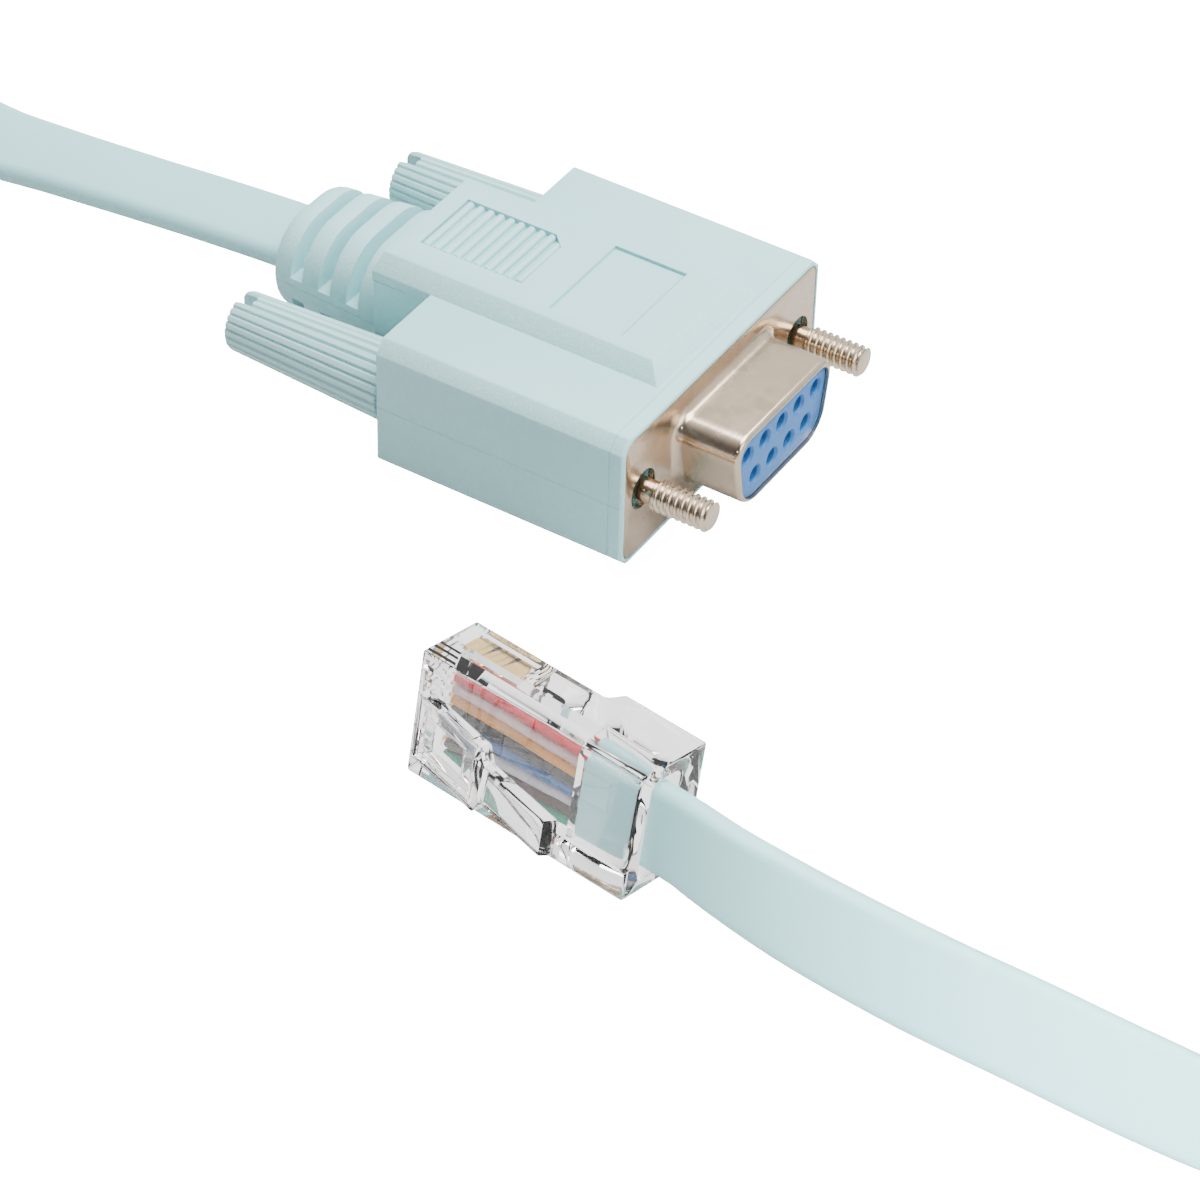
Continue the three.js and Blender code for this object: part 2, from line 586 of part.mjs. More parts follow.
function plugBody() {
  const outline = [
    [0, LATCH_FACE],
    [PLUG_LENGTH, LATCH_FACE],
    [PLUG_LENGTH, REAR_FACE],
    [PLUG_STEP_END, REAR_FACE],
    [PLUG_STEP_START, PLUG_CONTACT_FACE],
    [0, PLUG_CONTACT_FACE],
  ];
  const body = solid(alongZ(outline, -PLUG_WIDTH / 2, PLUG_WIDTH / 2));
  const cordHalf = CORD_THICKNESS / 2 + CLEARANCE;
  const jacket = box(
    JACKET_START, PLUG_LENGTH + 1, -cordHalf, cordHalf, -CORD_WIDTH / 2 - CLEARANCE, CORD_WIDTH / 2 + CLEARANCE,
  );
  const wireHalf = WIRE_DIAMETER / 2 + CLEARANCE;
  const wires = box(
    WIRE_START - CLEARANCE, JACKET_START + 1, -wireHalf, wireHalf, wayPlace(WAYS - 1) - wireHalf, wayPlace(0) + wireHalf,
  );
  const slots = [];
  for (let i = 0; i < WAYS; i += 1) {
    const half = BLADE_THICKNESS / 2 + CLEARANCE * 0.5;
    slots.push(box(-1, BLADE_END + CLEARANCE, 0, PLUG_CONTACT_FACE + 1, wayPlace(i) - half, wayPlace(i) + half));
  }
  const pocket = box(
    POCKET_START, POCKET_END, POCKET_FLOOR, PLUG_CONTACT_FACE + 1, -POCKET_WIDTH / 2, POCKET_WIDTH / 2,
  );
  return geometryOf(cut(body, jacket, wires, pocket, ...slots));
}

function plugJacket() {
  const end = alongX(cordSection(), JACKET_START + CLEARANCE, PLUG_LENGTH);
  return end.rotateX(Math.PI / 2);
}

function plugBlade(i) {
  const half = BLADE_THICKNESS / 2;
  const y0 = WIRE_DIAMETER / 2 + CLEARANCE;
  return box(BLADE_START, BLADE_END, y0, PLUG_CONTACT_FACE - BLADE_SETBACK, wayPlace(i) - half, wayPlace(i) + half);
}

function plugLatch() {
  const root = LATCH_ROOT_WIDTH / 2;
  const tail = LATCH_TAIL_WIDTH / 2;
  const outline = [
    [0, -root],
    [LATCH_SHOULDER, -root],
    [LATCH_SHOULDER + 1, -tail],
    [LATCH_LENGTH, -tail],
    [LATCH_LENGTH, tail],
    [LATCH_SHOULDER + 1, tail],
    [LATCH_SHOULDER, root],
    [0, root],
  ];
  const plate = alongZ(outline, 0, LATCH_THICKNESS);
  plate.rotateX(Math.PI / 2).rotateZ(-LATCH_TILT);
  return plate.translate(LATCH_ROOT, LATCH_FACE - CLEARANCE, 0);
}

function wire(i) {
  return rod(WIRE_DIAMETER / 2, WIRE_START, JACKET_START, 0, wayPlace(i), 8);
}

// Assembly
const cable = new THREE.Group();
cable.position.set(SHIFT_X, 0, FLOOR);

function piece(parent, name, geometry, finish) {
  const mesh = new THREE.Mesh(geometry, finish);
  mesh.name = name;
  parent.add(mesh);
  return mesh;
}

piece(cable, 'hood', hood(), MATERIALS.vinyl());
piece(cable, 'dsub_shell', dsubShell(), MATERIALS.nickel());
piece(cable, 'dsub_insulator', insulator(), MATERIALS.insulator());
contactPlaces().forEach(([y, z], i) => {
  piece(cable, `socket_contact_${i + 1}`, socketContact(y, z), MATERIALS.gold());
});
for (const [side, name] of [[-1, 'near'], [1, 'far']]) {
  const screw = new THREE.Group();
  screw.position.set(0, (side * SCREW_SPACING) / 2, 0);
  piece(screw, `${name}_screw_knob`, knob(), MATERIALS.vinyl());
  piece(screw, `${name}_screw_shaft`, screwShaft(), MATERIALS.nickel());
  cable.add(screw);
}

piece(cable, 'cord_hood_run', cordRun(HOOD_RUN, 50), MATERIALS.cord());
piece(cable, 'cord_coil', coilRing(), MATERIALS.cord());
piece(cable, 'cord_plug_run', cordRun(PLUG_RUN, 30), MATERIALS.cord());
piece(cable, 'coil_tie', coilTie(), MATERIALS.tie());

const plug = new THREE.Group();
const plugTurn = new THREE.Matrix4()
  .makeTranslation(PLUG_EXIT[0], PLUG_EXIT[1], PLUG_HEIGHT - FLOOR)
  .multiply(new THREE.Matrix4().makeRotationZ(PLUG_YAW))
  .multiply(new THREE.Matrix4().makeRotationX(-PLUG_LEAN))
  .multiply(new THREE.Matrix4().makeTranslation(-PLUG_LENGTH, 0, 0));
plugTurn.decompose(plug.position, plug.quaternion, plug.scale);
piece(plug, 'plug_body', plugBody(), MATERIALS.clear());
piece(plug, 'plug_latch', plugLatch(), MATERIALS.clear());
piece(plug, 'plug_jacket', plugJacket(), MATERIALS.cord());
for (let i = 0; i < WAYS; i += 1) {
  piece(plug, `plug_contact_${i + 1}`, plugBlade(i), MATERIALS.gold());
  piece(plug, `plug_wire_${i + 1}`, wire(i), material(WIRE_COLOURS[i], 0.5));
}
cable.add(plug);

export default cable;
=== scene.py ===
# %% [markdown]
# # A console cable with a D connector and a clear modular plug
#
# A console cable joins a computer's serial port to the network jack of a rack-mounted
# box. One end is a nine-way D connector in a pale moulded hood with two thumbscrews. A
# flat eight-core cord leaves it, and the other end is a clear modular plug, through which
# the eight coloured wires show. The spare length lies in a tied coil.
#
# The sizes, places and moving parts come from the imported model, which is loaded first.
# Each piece below is then modelled in its place, so nothing has to be fitted afterwards.

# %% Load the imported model
import math

import bmesh
import bpy
from mathutils import Matrix, Vector


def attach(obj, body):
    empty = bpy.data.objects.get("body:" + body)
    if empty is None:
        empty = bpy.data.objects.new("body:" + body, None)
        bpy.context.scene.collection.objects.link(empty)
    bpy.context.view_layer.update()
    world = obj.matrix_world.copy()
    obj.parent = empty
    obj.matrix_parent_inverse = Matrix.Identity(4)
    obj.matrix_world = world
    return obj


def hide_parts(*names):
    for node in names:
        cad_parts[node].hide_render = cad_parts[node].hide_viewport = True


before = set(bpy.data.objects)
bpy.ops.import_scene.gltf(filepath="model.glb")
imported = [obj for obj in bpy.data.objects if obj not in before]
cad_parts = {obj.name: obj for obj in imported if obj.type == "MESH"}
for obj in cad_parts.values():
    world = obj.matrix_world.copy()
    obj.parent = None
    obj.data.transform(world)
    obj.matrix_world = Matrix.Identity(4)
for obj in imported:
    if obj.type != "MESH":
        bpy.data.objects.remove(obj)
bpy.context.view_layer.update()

# %% [markdown]
# ## Camera
#
# A product photograph like this one is taken with a long lens from well above the table,
# so that edges which are parallel on the object stay almost parallel in the picture. The
# camera could be aimed at a target by a constraint. Three plain angles are used instead,
# because they hold a small tilt of the camera too.

# %% Camera
camera_data = bpy.data.cameras.new("camera")
camera_data.lens = 138.0
camera_data.sensor_width = 36.0
camera_data.clip_start = 0.01
camera = bpy.data.objects.new("camera", camera_data)
camera.location = (0.16901, -0.26546, 0.25191)
camera.rotation_euler = [math.radians(a) for a in (48.9924, -1.1930, 32.5215)]
bpy.context.collection.objects.link(camera)
bpy.context.scene.camera = camera
print("camera height in mm:", round(camera.location.z * 1000, 1))

# %% [markdown]
# ## Where the pieces are modelled
#
# The real connector is smaller than a matchbox, and its details are tenths of a
# millimetre. It could be modelled at its true size in metres, but bevels and Boolean cuts
# work best on numbers near one. So each piece is modelled on a bench where one unit is a
# millimetre and the origin is the middle of the metal flange, with +X the way the
# connector points. The finished piece is then shrunk to metres and set in its place, and
# its object is left at the origin with its place in its mesh.

# %% The bench
FLANGE = Vector((0.018, 0.0, 0.00825))  # the bench's origin in the model, in metres
TO_MODEL = Matrix.Translation(FLANGE) @ Matrix.Scale(0.001, 4)
ON_BENCH = Matrix.Identity(4)
print("bench origin in mm:", [round(c * 1000, 2) for c in FLANGE])


# %% Primitives to be shaped further
def only(*pieces):
    """Leaves nothing selected but these pieces, the first of them active."""
    if bpy.context.object and bpy.context.object.mode != "OBJECT":
        bpy.ops.object.mode_set(mode="OBJECT")
    bpy.ops.object.select_all(action="DESELECT")
    for piece in pieces:
        piece.select_set(True)
    if pieces:
        bpy.context.view_layer.objects.active = pieces[0]


def named(name):
    """Names the piece that was just added, with its size and place in its mesh."""
    piece = bpy.context.object
    piece.name = piece.data.name = name
    bpy.ops.object.transform_apply(location=True, rotation=True, scale=True)
    return piece


def block(name, low, high):
    """A block between two corners."""
    only()
    middle = [(a + b) / 2 for a, b in zip(low, high)]
    size = [b - a for a, b in zip(low, high)]
    bpy.ops.mesh.primitive_cube_add(size=1, location=middle, scale=size)
    return named(name)


def rod(name, radius, start, end, y=0.0, z=0.0, sides=48):
    """A round bar along X."""
    only()
    bpy.ops.mesh.primitive_cone_add(
        vertices=sides, radius1=radius, radius2=radius, depth=end - start,
        location=((start + end) / 2, y, z), rotation=(0, math.pi / 2, 0))
    return named(name)


print("primitives:", block.__name__, rod.__name__)


# %% Shaping in edit mode
def edit(piece):
    """Opens a piece in edit mode with nothing selected."""
    only(piece)
    bpy.ops.object.mode_set(mode="EDIT")
    bpy.ops.mesh.select_mode(type="VERT")
    bpy.ops.mesh.select_all(action="DESELECT")


def done():
    """Leaves edit mode."""
    bpy.ops.object.mode_set(mode="OBJECT")


def pick(kind, test):
    """Selects the FACEs, EDGEs or VERTs that pass a test, by their middle and direction."""
    bpy.ops.mesh.select_mode(type=kind)
    bpy.ops.mesh.select_all(action="DESELECT")
    mesh = bmesh.from_edit_mesh(bpy.context.object.data)
    for item in {"FACE": mesh.faces, "EDGE": mesh.edges, "VERT": mesh.verts}[kind]:
        if kind == "FACE":
            hit = test(item.calc_center_median(), item.normal)
        elif kind == "EDGE":
            a, b = item.verts
            hit = test((a.co + b.co) / 2, (b.co - a.co).normalized())
        else:
            hit = test(item.co, item.normal)
        if hit:
            item.select_set(True)
    mesh.select_flush_mode()
    bmesh.update_edit_mesh(bpy.context.object.data)


def front(at, facing):
    """True for faces that look along +X."""
    return facing.x > 0.9


def rear(at, facing):
    """True for faces that look along -X."""
    return facing.x < -0.9


def lengthwise(at, along):
    """True for edges that run along X."""
    return abs(along.x) > 0.9


def bevel(width, segments, test):
    """Bevels the edges that pass a test."""
    pick("EDGE", test)
    bpy.ops.mesh.bevel(offset=width, segments=segments, affect="EDGES")


def extrude(*step):
    """Extrudes the selected faces by a step along X, Y and Z."""
    bpy.ops.mesh.extrude_region_move(TRANSFORM_OT_translate={"value": step})


def closed(piece):
    """Merges doubles, turns every face outwards and leaves edit mode."""
    edit(piece)
    bpy.ops.mesh.select_all(action="SELECT")
    bpy.ops.mesh.remove_doubles(threshold=0.0005)
    bpy.ops.mesh.normals_make_consistent(inside=False)
    done()


print("tests for faces and edges:", front.__name__, rear.__name__, lengthwise.__name__)


# %% Cutting, rounding, copying and placing
def combine(piece, *tools, how="DIFFERENCE"):
    """Cuts tools from a piece, or joins them to it, and removes the tools."""
    for tool in tools:
        only(piece)
        step = piece.modifiers.new("combine", "BOOLEAN")
        step.operation, step.solver, step.object = how, "EXACT", tool
        bpy.ops.object.modifier_apply(modifier=step.name)
        bpy.data.objects.remove(tool)
    return piece


def soften(piece, width, segments=2, angle=30):
    """Rounds every edge that turns by more than an angle."""
    only(piece)
    step = piece.modifiers.new("soften", "BEVEL")
    step.width, step.segments, step.angle_limit = width, segments, math.radians(angle)
    step.limit_method, step.use_clamp_overlap, step.miter_outer = "ANGLE", True, "MITER_ARC"
    bpy.ops.object.modifier_apply(modifier=step.name)
    return piece


def copied(piece, name, shift=(0, 0, 0), turn=None):
    """A copy with a mesh of its own, moved or turned on the bench."""
    twin = bpy.data.objects.new(name, piece.data.copy())
    bpy.context.collection.objects.link(twin)
    twin.data.transform(Matrix.Translation(shift) @ (turn or ON_BENCH))
    twin.data.name = name
    return twin


def fit(piece, material, body, slot, place=ON_BENCH, smooth=35):
    """Sets a finished piece in the model: its place, finish and body; the material slot is not used."""
    only(piece)
    piece.data.transform(TO_MODEL @ place)
    piece.data.update()
    bpy.ops.object.shade_smooth_by_angle(angle=math.radians(smooth))
    piece.data.materials.clear()
    piece.data.materials.append(material)
    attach(piece, body)
    print(piece.name, "faces:", len(piece.data.polygons))
    return piece


print("cut, round, copy and place:", combine.__name__, soften.__name__, copied.__name__, fit.__name__)

# %% [markdown]
# ## Table and light
#
# The cable was photographed on white paper under large soft lamps, so its tops are bright,
# the sides towards the camera are a little darker and no hard shadow shows. A studio could
# be built lamp by lamp. A bright sky with a dark patch behind the camera does most of it
# here, because that patch is what gives bright metal its dark reflections. A wide lamp
# overhead adds the soft top light, one in front of the connector lights its face, and a
# small weak one shines on the plug. Paper and sky are brighter for rays that come through
# the clear plug, which a real studio does with a light table under it, and the paper glows
# for the camera, so that it stays white without lighting the hood from below.

# %% Sky
def feed(tree, node, inputs):
    """Gives each input of a node a value, or a link from another node's socket."""
    for key, value in inputs.items():
        if isinstance(value, bpy.types.NodeSocket):
            tree.links.new(value, node.inputs[key])
        else:
            node.inputs[key].default_value = value


def put(tree, kind, inputs=None, **settings):
    """Adds a node to a tree, with its settings, and feeds its inputs."""
    node = tree.nodes.new(kind)
    for name, value in settings.items():
        setattr(node, name, value)
    feed(tree, node, inputs or {})
    return node


def maths(tree, kind, *values):
    """The result of a Math node; each value is a number or a socket."""
    return put(tree, "ShaderNodeMath", dict(enumerate(values)), operation=kind).outputs["Value"]


def blend(tree, share, colour, other):
    """A colour that becomes another one as the share goes from 0 to 1."""
    mix = put(tree, "ShaderNodeMix", {"Factor": share, 6: colour, 7: other}, data_type="RGBA")
    return mix.outputs[2]


world = bpy.data.worlds.new("studio")
bpy.context.scene.world = world
world.use_nodes = True
sky = world.node_tree
sky.nodes.clear()
TOWARDS_CAMERA = (0.30, -0.90, 0.25)
sky_place = put(sky, "ShaderNodeTexCoord").outputs["Generated"]
sky_towards = put(sky, "ShaderNodeVectorMath", {0: sky_place, 1: TOWARDS_CAMERA},
                  operation="DOT_PRODUCT")
sky_ramp = put(sky, "ShaderNodeValToRGB", {"Fac": sky_towards.outputs["Value"]})
sky_bright, sky_dark = sky_ramp.color_ramp.elements
sky_bright.position, sky_bright.color = 0.05, (1.0, 1.0, 1.0, 1)
sky_dark.position, sky_dark.color = 0.75, (0.10, 0.10, 0.11, 1)
sky_through = put(sky, "ShaderNodeLightPath").outputs["Is Transmission Ray"]
sky_colour = blend(sky, maths(sky, "MULTIPLY", sky_through, 0.85), sky_ramp.outputs["Color"],
                   (1.5, 1.5, 1.5, 1))
sky_light = put(sky, "ShaderNodeBackground", {"Color": sky_colour, "Strength": 1.35})
put(sky, "ShaderNodeOutputWorld", {"Surface": sky_light.outputs["Background"]})
print("sky nodes:", len(sky.nodes))


# %% Lamps
def softbox(name, place, aim, size, power, spread=180):
    """A square lamp that shines from a place towards a point, in metres, watts and degrees."""
    lamp = bpy.data.lights.new(name, "AREA")
    lamp.shape, lamp.size, lamp.energy = "SQUARE", size, power
    lamp.spread = math.radians(spread)
    holder = bpy.data.objects.new(name, lamp)
    holder.location = place
    holder.rotation_euler = (Vector(aim) - Vector(place)).to_track_quat("-Z", "Y").to_euler()
    bpy.context.collection.objects.link(holder)


softbox("top_light", (0.15, 0.20, 0.75), (0.0, 0.0, 0.0), 0.6, 14.0)
softbox("front_light", (0.75, -0.05, 0.35), (0.0, 0.0, 0.0), 0.5, 3.5)
softbox("plug_light", (0.17, -0.24, 0.16), (0.092, -0.056, 0.004), 0.04, 0.05, spread=22)

# %% Paper
PAPER_SIZE, UNDER_CABLE = 6, -0.0002  # in metres
GLOW_FOR_CAMERA, GLOW_THROUGH_PLUG = 20.0, 2.6
paper_finish = bpy.data.materials.new("paper")
paper_finish.use_nodes = True
paper = paper_finish.node_tree
paper.nodes.clear()
seen = put(paper, "ShaderNodeLightPath").outputs
paper_glow = put(paper, "ShaderNodeEmission", {
    "Color": (1.0, 1.0, 1.0, 1),
    "Strength": maths(paper, "MULTIPLY_ADD", seen["Is Camera Ray"], GLOW_FOR_CAMERA, GLOW_THROUGH_PLUG)})
paper_plain = put(paper, "ShaderNodeBsdfDiffuse", {"Color": (0.55, 0.55, 0.55, 1)})
paper_mix = put(paper, "ShaderNodeMixShader", {
    "Fac": maths(paper, "MAXIMUM", seen["Is Camera Ray"], seen["Is Transmission Ray"]),
    1: paper_plain.outputs["BSDF"], 2: paper_glow.outputs["Emission"]})
put(paper, "ShaderNodeOutputMaterial", {"Surface": paper_mix.outputs["Shader"]})
only()
bpy.ops.mesh.primitive_plane_add(size=PAPER_SIZE, location=(0, 0, UNDER_CABLE))
table = named("paper_table")
table.data.materials.append(paper_finish)
print("paper nodes:", len(paper.nodes))

# %% [markdown]
# ## Finishes
#
# Every finish on a real thing varies a little: plastic has a faint grain and a slightly
# cloudy colour, plating has rub marks. These effects are used by several finishes, so each
# is made once as a node group that puts out a colour, a roughness and a height, and each
# material sets its own amounts. The shader itself stays in the material. All patterns are
# laid out in the object's own space, so they stay on the piece from every side.


# %% Node group: a cloudy colour with a fine grain
def new_group(name, takes, gives):
    """An empty node group with its inputs, each with a first amount, and its outputs."""
    group = bpy.data.node_groups.new(name, "ShaderNodeTree")
    for label, amount in takes.items():
        kind = "NodeSocketColor" if isinstance(amount, tuple) else "NodeSocketFloat"
        socket = group.interface.new_socket(name=label, in_out="INPUT", socket_type=kind)
        socket.default_value = amount
    for label in gives:
        kind = "NodeSocketColor" if label == "Colour" else "NodeSocketFloat"
        group.interface.new_socket(name=label, in_out="OUTPUT", socket_type=kind)
    return group


def noise(tree, place, scale, detail):
    """The value of a noise texture at a place."""
    node = put(tree, "ShaderNodeTexNoise", {"Vector": place, "Scale": scale, "Detail": detail})
    return node.outputs["Fac"]


grain = new_group(
    "moulded_grain",
    {"Colour": (1, 1, 1, 1), "Cloud amount": 0.04, "Roughness": 0.45, "Roughness change": 0.08},
    ("Colour", "Roughness", "Height"))
g_in = put(grain, "NodeGroupInput").outputs
g_place = put(grain, "ShaderNodeTexCoord").outputs["Object"]
g_cloud, g_fine = noise(grain, g_place, 90.0, 2.0), noise(grain, g_place, 2600.0, 2.0)
g_shift = put(grain, "ShaderNodeMapRange", {"Value": g_cloud, "To Min": -1.0, "To Max": 1.0})
g_shift = g_shift.outputs["Result"]
g_value = maths(grain, "ADD", maths(grain, "MULTIPLY", g_shift, g_in["Cloud amount"]), 1.0)
g_colour = put(grain, "ShaderNodeHueSaturation", {"Value": g_value, "Color": g_in["Colour"]})
g_rough = maths(grain, "MULTIPLY_ADD", g_shift, g_in["Roughness change"], g_in["Roughness"])
put(grain, "NodeGroupOutput", {
    "Colour": g_colour.outputs["Color"], "Roughness": g_rough, "Height": g_fine})
print("group:", grain.name, [s.name for s in grain.interface.items_tree])


# %% Moulded plastics
def finish(name):
    """A new material with its node tree and its Principled shader."""
    made = bpy.data.materials.new(name)
    made.use_nodes = True
    return made, made.node_tree, made.node_tree.nodes["Principled BSDF"]


def dress(name, group, amounts, bump, depth):
    """A material whose colour, roughness and relief come from a node group."""
    made, tree, shader = finish(name)
    effect = put(tree, "ShaderNodeGroup", amounts, node_tree=group).outputs
    relief = put(tree, "ShaderNodeBump", {
        "Strength": bump, "Distance": depth, "Height": effect["Height"]})
    feed(tree, shader, {"Base Color": effect["Colour"], "Roughness": effect["Roughness"],
                        "Normal": relief.outputs["Normal"]})
    return made


def moulded(name, colour, rough=0.45, cloud=0.04, bump=0.06, change=0.08):
    """A satin moulded plastic of one colour."""
    return dress(name, grain, {"Colour": (*colour, 1), "Cloud amount": cloud, "Roughness": rough,
                               "Roughness change": change}, bump, 0.0001)


cord_finish = moulded("cord_vinyl", (0.38, 0.73, 0.76), rough=0.42)
hood_finish = moulded("hood_vinyl", (0.42, 0.75, 0.77), rough=0.5)
tie_finish = moulded("tie_black", (0.025, 0.026, 0.03), rough=0.35)
blue_finish = moulded("insulator_blue", (0.025, 0.15, 0.42), rough=0.45)
print("plastics:", [m.name for m in bpy.data.materials])

# %% [markdown]
# ## Plated metal, clear plastic and the wires' colours
#
# Nickel plating is a mirror with a warm tint that has been handled: its gloss is cloudy in
# places and rubbed in fine scratches along the sheet. A plain metal with one roughness
# looks too perfect. A node group gives it cloudy patches and fine brushed streaks, and the
# threads and the gold contacts use the same group with other amounts. The clear plastic is
# left plain, as a grain would cloud it, and only its gloss and its surface vary a little.

# %% Node group: handled plating
plated = new_group(
    "handled_plating",
    {"Colour": (1, 1, 1, 1), "Stain": (0.5, 0.4, 0.3, 1), "Stain amount": 0.2, "Roughness": 0.25},
    ("Colour", "Roughness", "Height"))
p_in = put(plated, "NodeGroupInput").outputs
p_place = put(plated, "ShaderNodeTexCoord").outputs["Object"]
p_long = put(plated, "ShaderNodeMapping", {"Vector": p_place, "Scale": (3000.0, 350.0, 3000.0)})
p_streak = noise(plated, p_long.outputs["Vector"], 1.0, 2.0)
p_cloud, p_spots = noise(plated, p_place, 260.0, 4.0), noise(plated, p_place, 900.0, 3.0)
p_patch = put(plated, "ShaderNodeMapRange", {"Value": p_cloud, "From Min": 0.50, "From Max": 0.80})
p_share = maths(plated, "MULTIPLY", p_patch.outputs["Result"], p_in["Stain amount"])
p_smooth = maths(plated, "SUBTRACT", p_in["Roughness"], 0.08)
put(plated, "NodeGroupOutput", {
    "Colour": blend(plated, p_share, p_in["Colour"], p_in["Stain"]),
    "Roughness": maths(plated, "MULTIPLY_ADD", p_spots, 0.16, p_smooth),
    "Height": maths(plated, "ADD", p_streak, p_spots)})
print("group:", plated.name, [s.name for s in plated.interface.items_tree])


# %% Metals
def metal(name, colour, stain, amount, rough, bump):
    """A plated metal with handled patches and fine streaks."""
    made = dress(name, plated, {"Colour": (*colour, 1), "Stain": (*stain, 1),
                                "Stain amount": amount, "Roughness": rough}, bump, 0.00002)
    made.node_tree.nodes["Principled BSDF"].inputs["Metallic"].default_value = 1.0
    return made


nickel_finish = metal("shell_nickel", (0.60, 0.48, 0.36), (0.30, 0.21, 0.13), 0.5, 0.24, 0.35)
screw_finish = metal("screw_nickel", (0.64, 0.53, 0.40), (0.32, 0.23, 0.14), 0.4, 0.20, 0.2)
gold_finish = metal("gold_contact", (0.88, 0.62, 0.22), (0.50, 0.30, 0.10), 0.3, 0.22, 0.2)
# The socket metal's dark colour is painted shade for contacts deep in their holes; its stain patches are
# real.
socket_painted_shade_finish = metal("socket_metal_painted_shade", (0.22, 0.16, 0.09), (0.05, 0.04, 0.03), 0.6, 0.45, 0.2)
print("metals:", [m.name for m in (nickel_finish, screw_finish, gold_finish, socket_painted_shade_finish)])

# %% Clear plastic
clear_finish, c_tree, c_shader = finish("clear_plastic")
c_wave = noise(c_tree, put(c_tree, "ShaderNodeTexCoord").outputs["Object"], 160.0, 1.0)
c_relief = put(c_tree, "ShaderNodeBump", {"Strength": 0.05, "Distance": 0.0002, "Height": c_wave})
feed(c_tree, c_shader, {
    "Base Color": (0.962, 0.944, 0.952, 1), "Transmission Weight": 1.0, "IOR": 1.49,
    "Specular IOR Level": 0.25, "Roughness": maths(c_tree, "MULTIPLY_ADD", c_wave, 0.03, 0.0),
    "Normal": c_relief.outputs["Normal"]})
print("clear plastic bends light by:", round(c_shader.inputs["IOR"].default_value, 2))

# %% Wire colours
WIRE_COLOURS = {
    "wire_red": (0.50, 0.012, 0.018), "wire_white": (0.66, 0.49, 0.47),
    "wire_yellow": (0.66, 0.27, 0.0), "wire_black": (0.008, 0.009, 0.010),
    "wire_blue": (0.01, 0.11, 0.34), "wire_grey": (0.48, 0.48, 0.51),
    "wire_brown": (0.055, 0.020, 0.013), "wire_green": (0.0, 0.31, 0.18)}
wire_finishes = {name: moulded(name, colour, rough=0.5, cloud=0.03, bump=0.0)
                 for name, colour in WIRE_COLOURS.items()}
for made in wire_finishes.values():
    made.node_tree.nodes["Principled BSDF"].inputs["Specular IOR Level"].default_value = 0.12
print("wires:", list(wire_finishes))

# %% [markdown]
# ## Marks of the mould
#
# A mould leaves its own marks. Where its two halves met there is a fine line round the
# hood at mid height and another just behind the front rim, and its slanted walls were
# left with a spark-eroded grain, which sparkles on the hood's bevels while the flat tops
# are smooth. The grain could be modelled, but it is only hundredths of a millimetre deep.
# A node group finds the bevels by their direction and puts out the masks and a height.
# The masks also paint light and shade into the hood's colour: painted glints in specks of
# the grain on the bevels, and painted shade that darkens the parting lines.

# %% Node group: bevel grain and parting lines, with masks for painted glints and shade
marks = new_group("mould_marks_and_painted_light", {}, ("Painted glints", "Line", "Height"))
m_place = put(marks, "ShaderNodeTexCoord").outputs
m_at = put(marks, "ShaderNodeSeparateXYZ", {0: m_place["Object"]}).outputs
m_facing = put(marks, "ShaderNodeSeparateXYZ", {0: m_place["Normal"]}).outputs
m_grain = noise(marks, m_place["Object"], 6500.0, 1.0)


def ramp(value, low, high):
    """0 below low, 1 above high, and smooth between; low may be the larger one."""
    node = put(marks, "ShaderNodeMapRange", {"Value": value, "From Min": low, "From Max": high},
               interpolation_type="SMOOTHSTEP")
    return node.outputs["Result"]


def away_from(socket, place):
    """The distance of a coordinate from a place."""
    return maths(marks, "ABSOLUTE", maths(marks, "SUBTRACT", socket, place))


BEHIND_RIM = FLANGE.x - 0.0013
m_up = maths(marks, "ABSOLUTE", m_facing["Z"])
m_bevel = maths(marks, "MULTIPLY", ramp(m_up, 0.30, 0.50), ramp(m_up, 0.95, 0.80))
m_middle = maths(marks, "MULTIPLY", ramp(away_from(m_at["Z"], FLANGE.z), 0.00007, 0.00003),
                 ramp(m_up, 0.4, 0.2))
m_rim = ramp(away_from(m_at["X"], BEHIND_RIM), 0.00008, 0.00003)
# The lines' mask sinks them in the height, and the hood's finish also darkens them with it, as painted
# shade.
m_line = maths(marks, "MAXIMUM", m_middle, m_rim)
m_sunk = maths(marks, "MULTIPLY", m_line, -0.8)
# The sparkle mask is used to lighten the hood's colour in grain specks, as painted glints.
put(marks, "NodeGroupOutput", {
    "Painted glints": maths(marks, "MULTIPLY", ramp(m_grain, 0.52, 0.68), m_bevel),
    "Line": m_line,
    "Height": maths(marks, "MULTIPLY_ADD", m_grain, m_bevel, m_sunk)})
print("group:", marks.name, [s.name for s in marks.interface.items_tree])

# %% The hood's finish with its marks, painted glints and painted shade
h_tree = hood_finish.node_tree
h_shader = h_tree.nodes["Principled BSDF"]
h_bump, h_effect = [next(n for n in h_tree.nodes if n.type == kind) for kind in ("BUMP", "GROUP")]
h_marks_and_painted_light = put(h_tree, "ShaderNodeGroup", node_tree=marks).outputs
# Painted glints: the hood's colour is lightened towards pale in grain specks on the bevels.
h_painted_glints = maths(h_tree, "MULTIPLY", h_marks_and_painted_light["Painted glints"], 0.45)
h_colour_with_painted_glints = blend(h_tree, h_painted_glints, h_effect.outputs["Colour"], (0.85, 0.93, 0.93, 1))
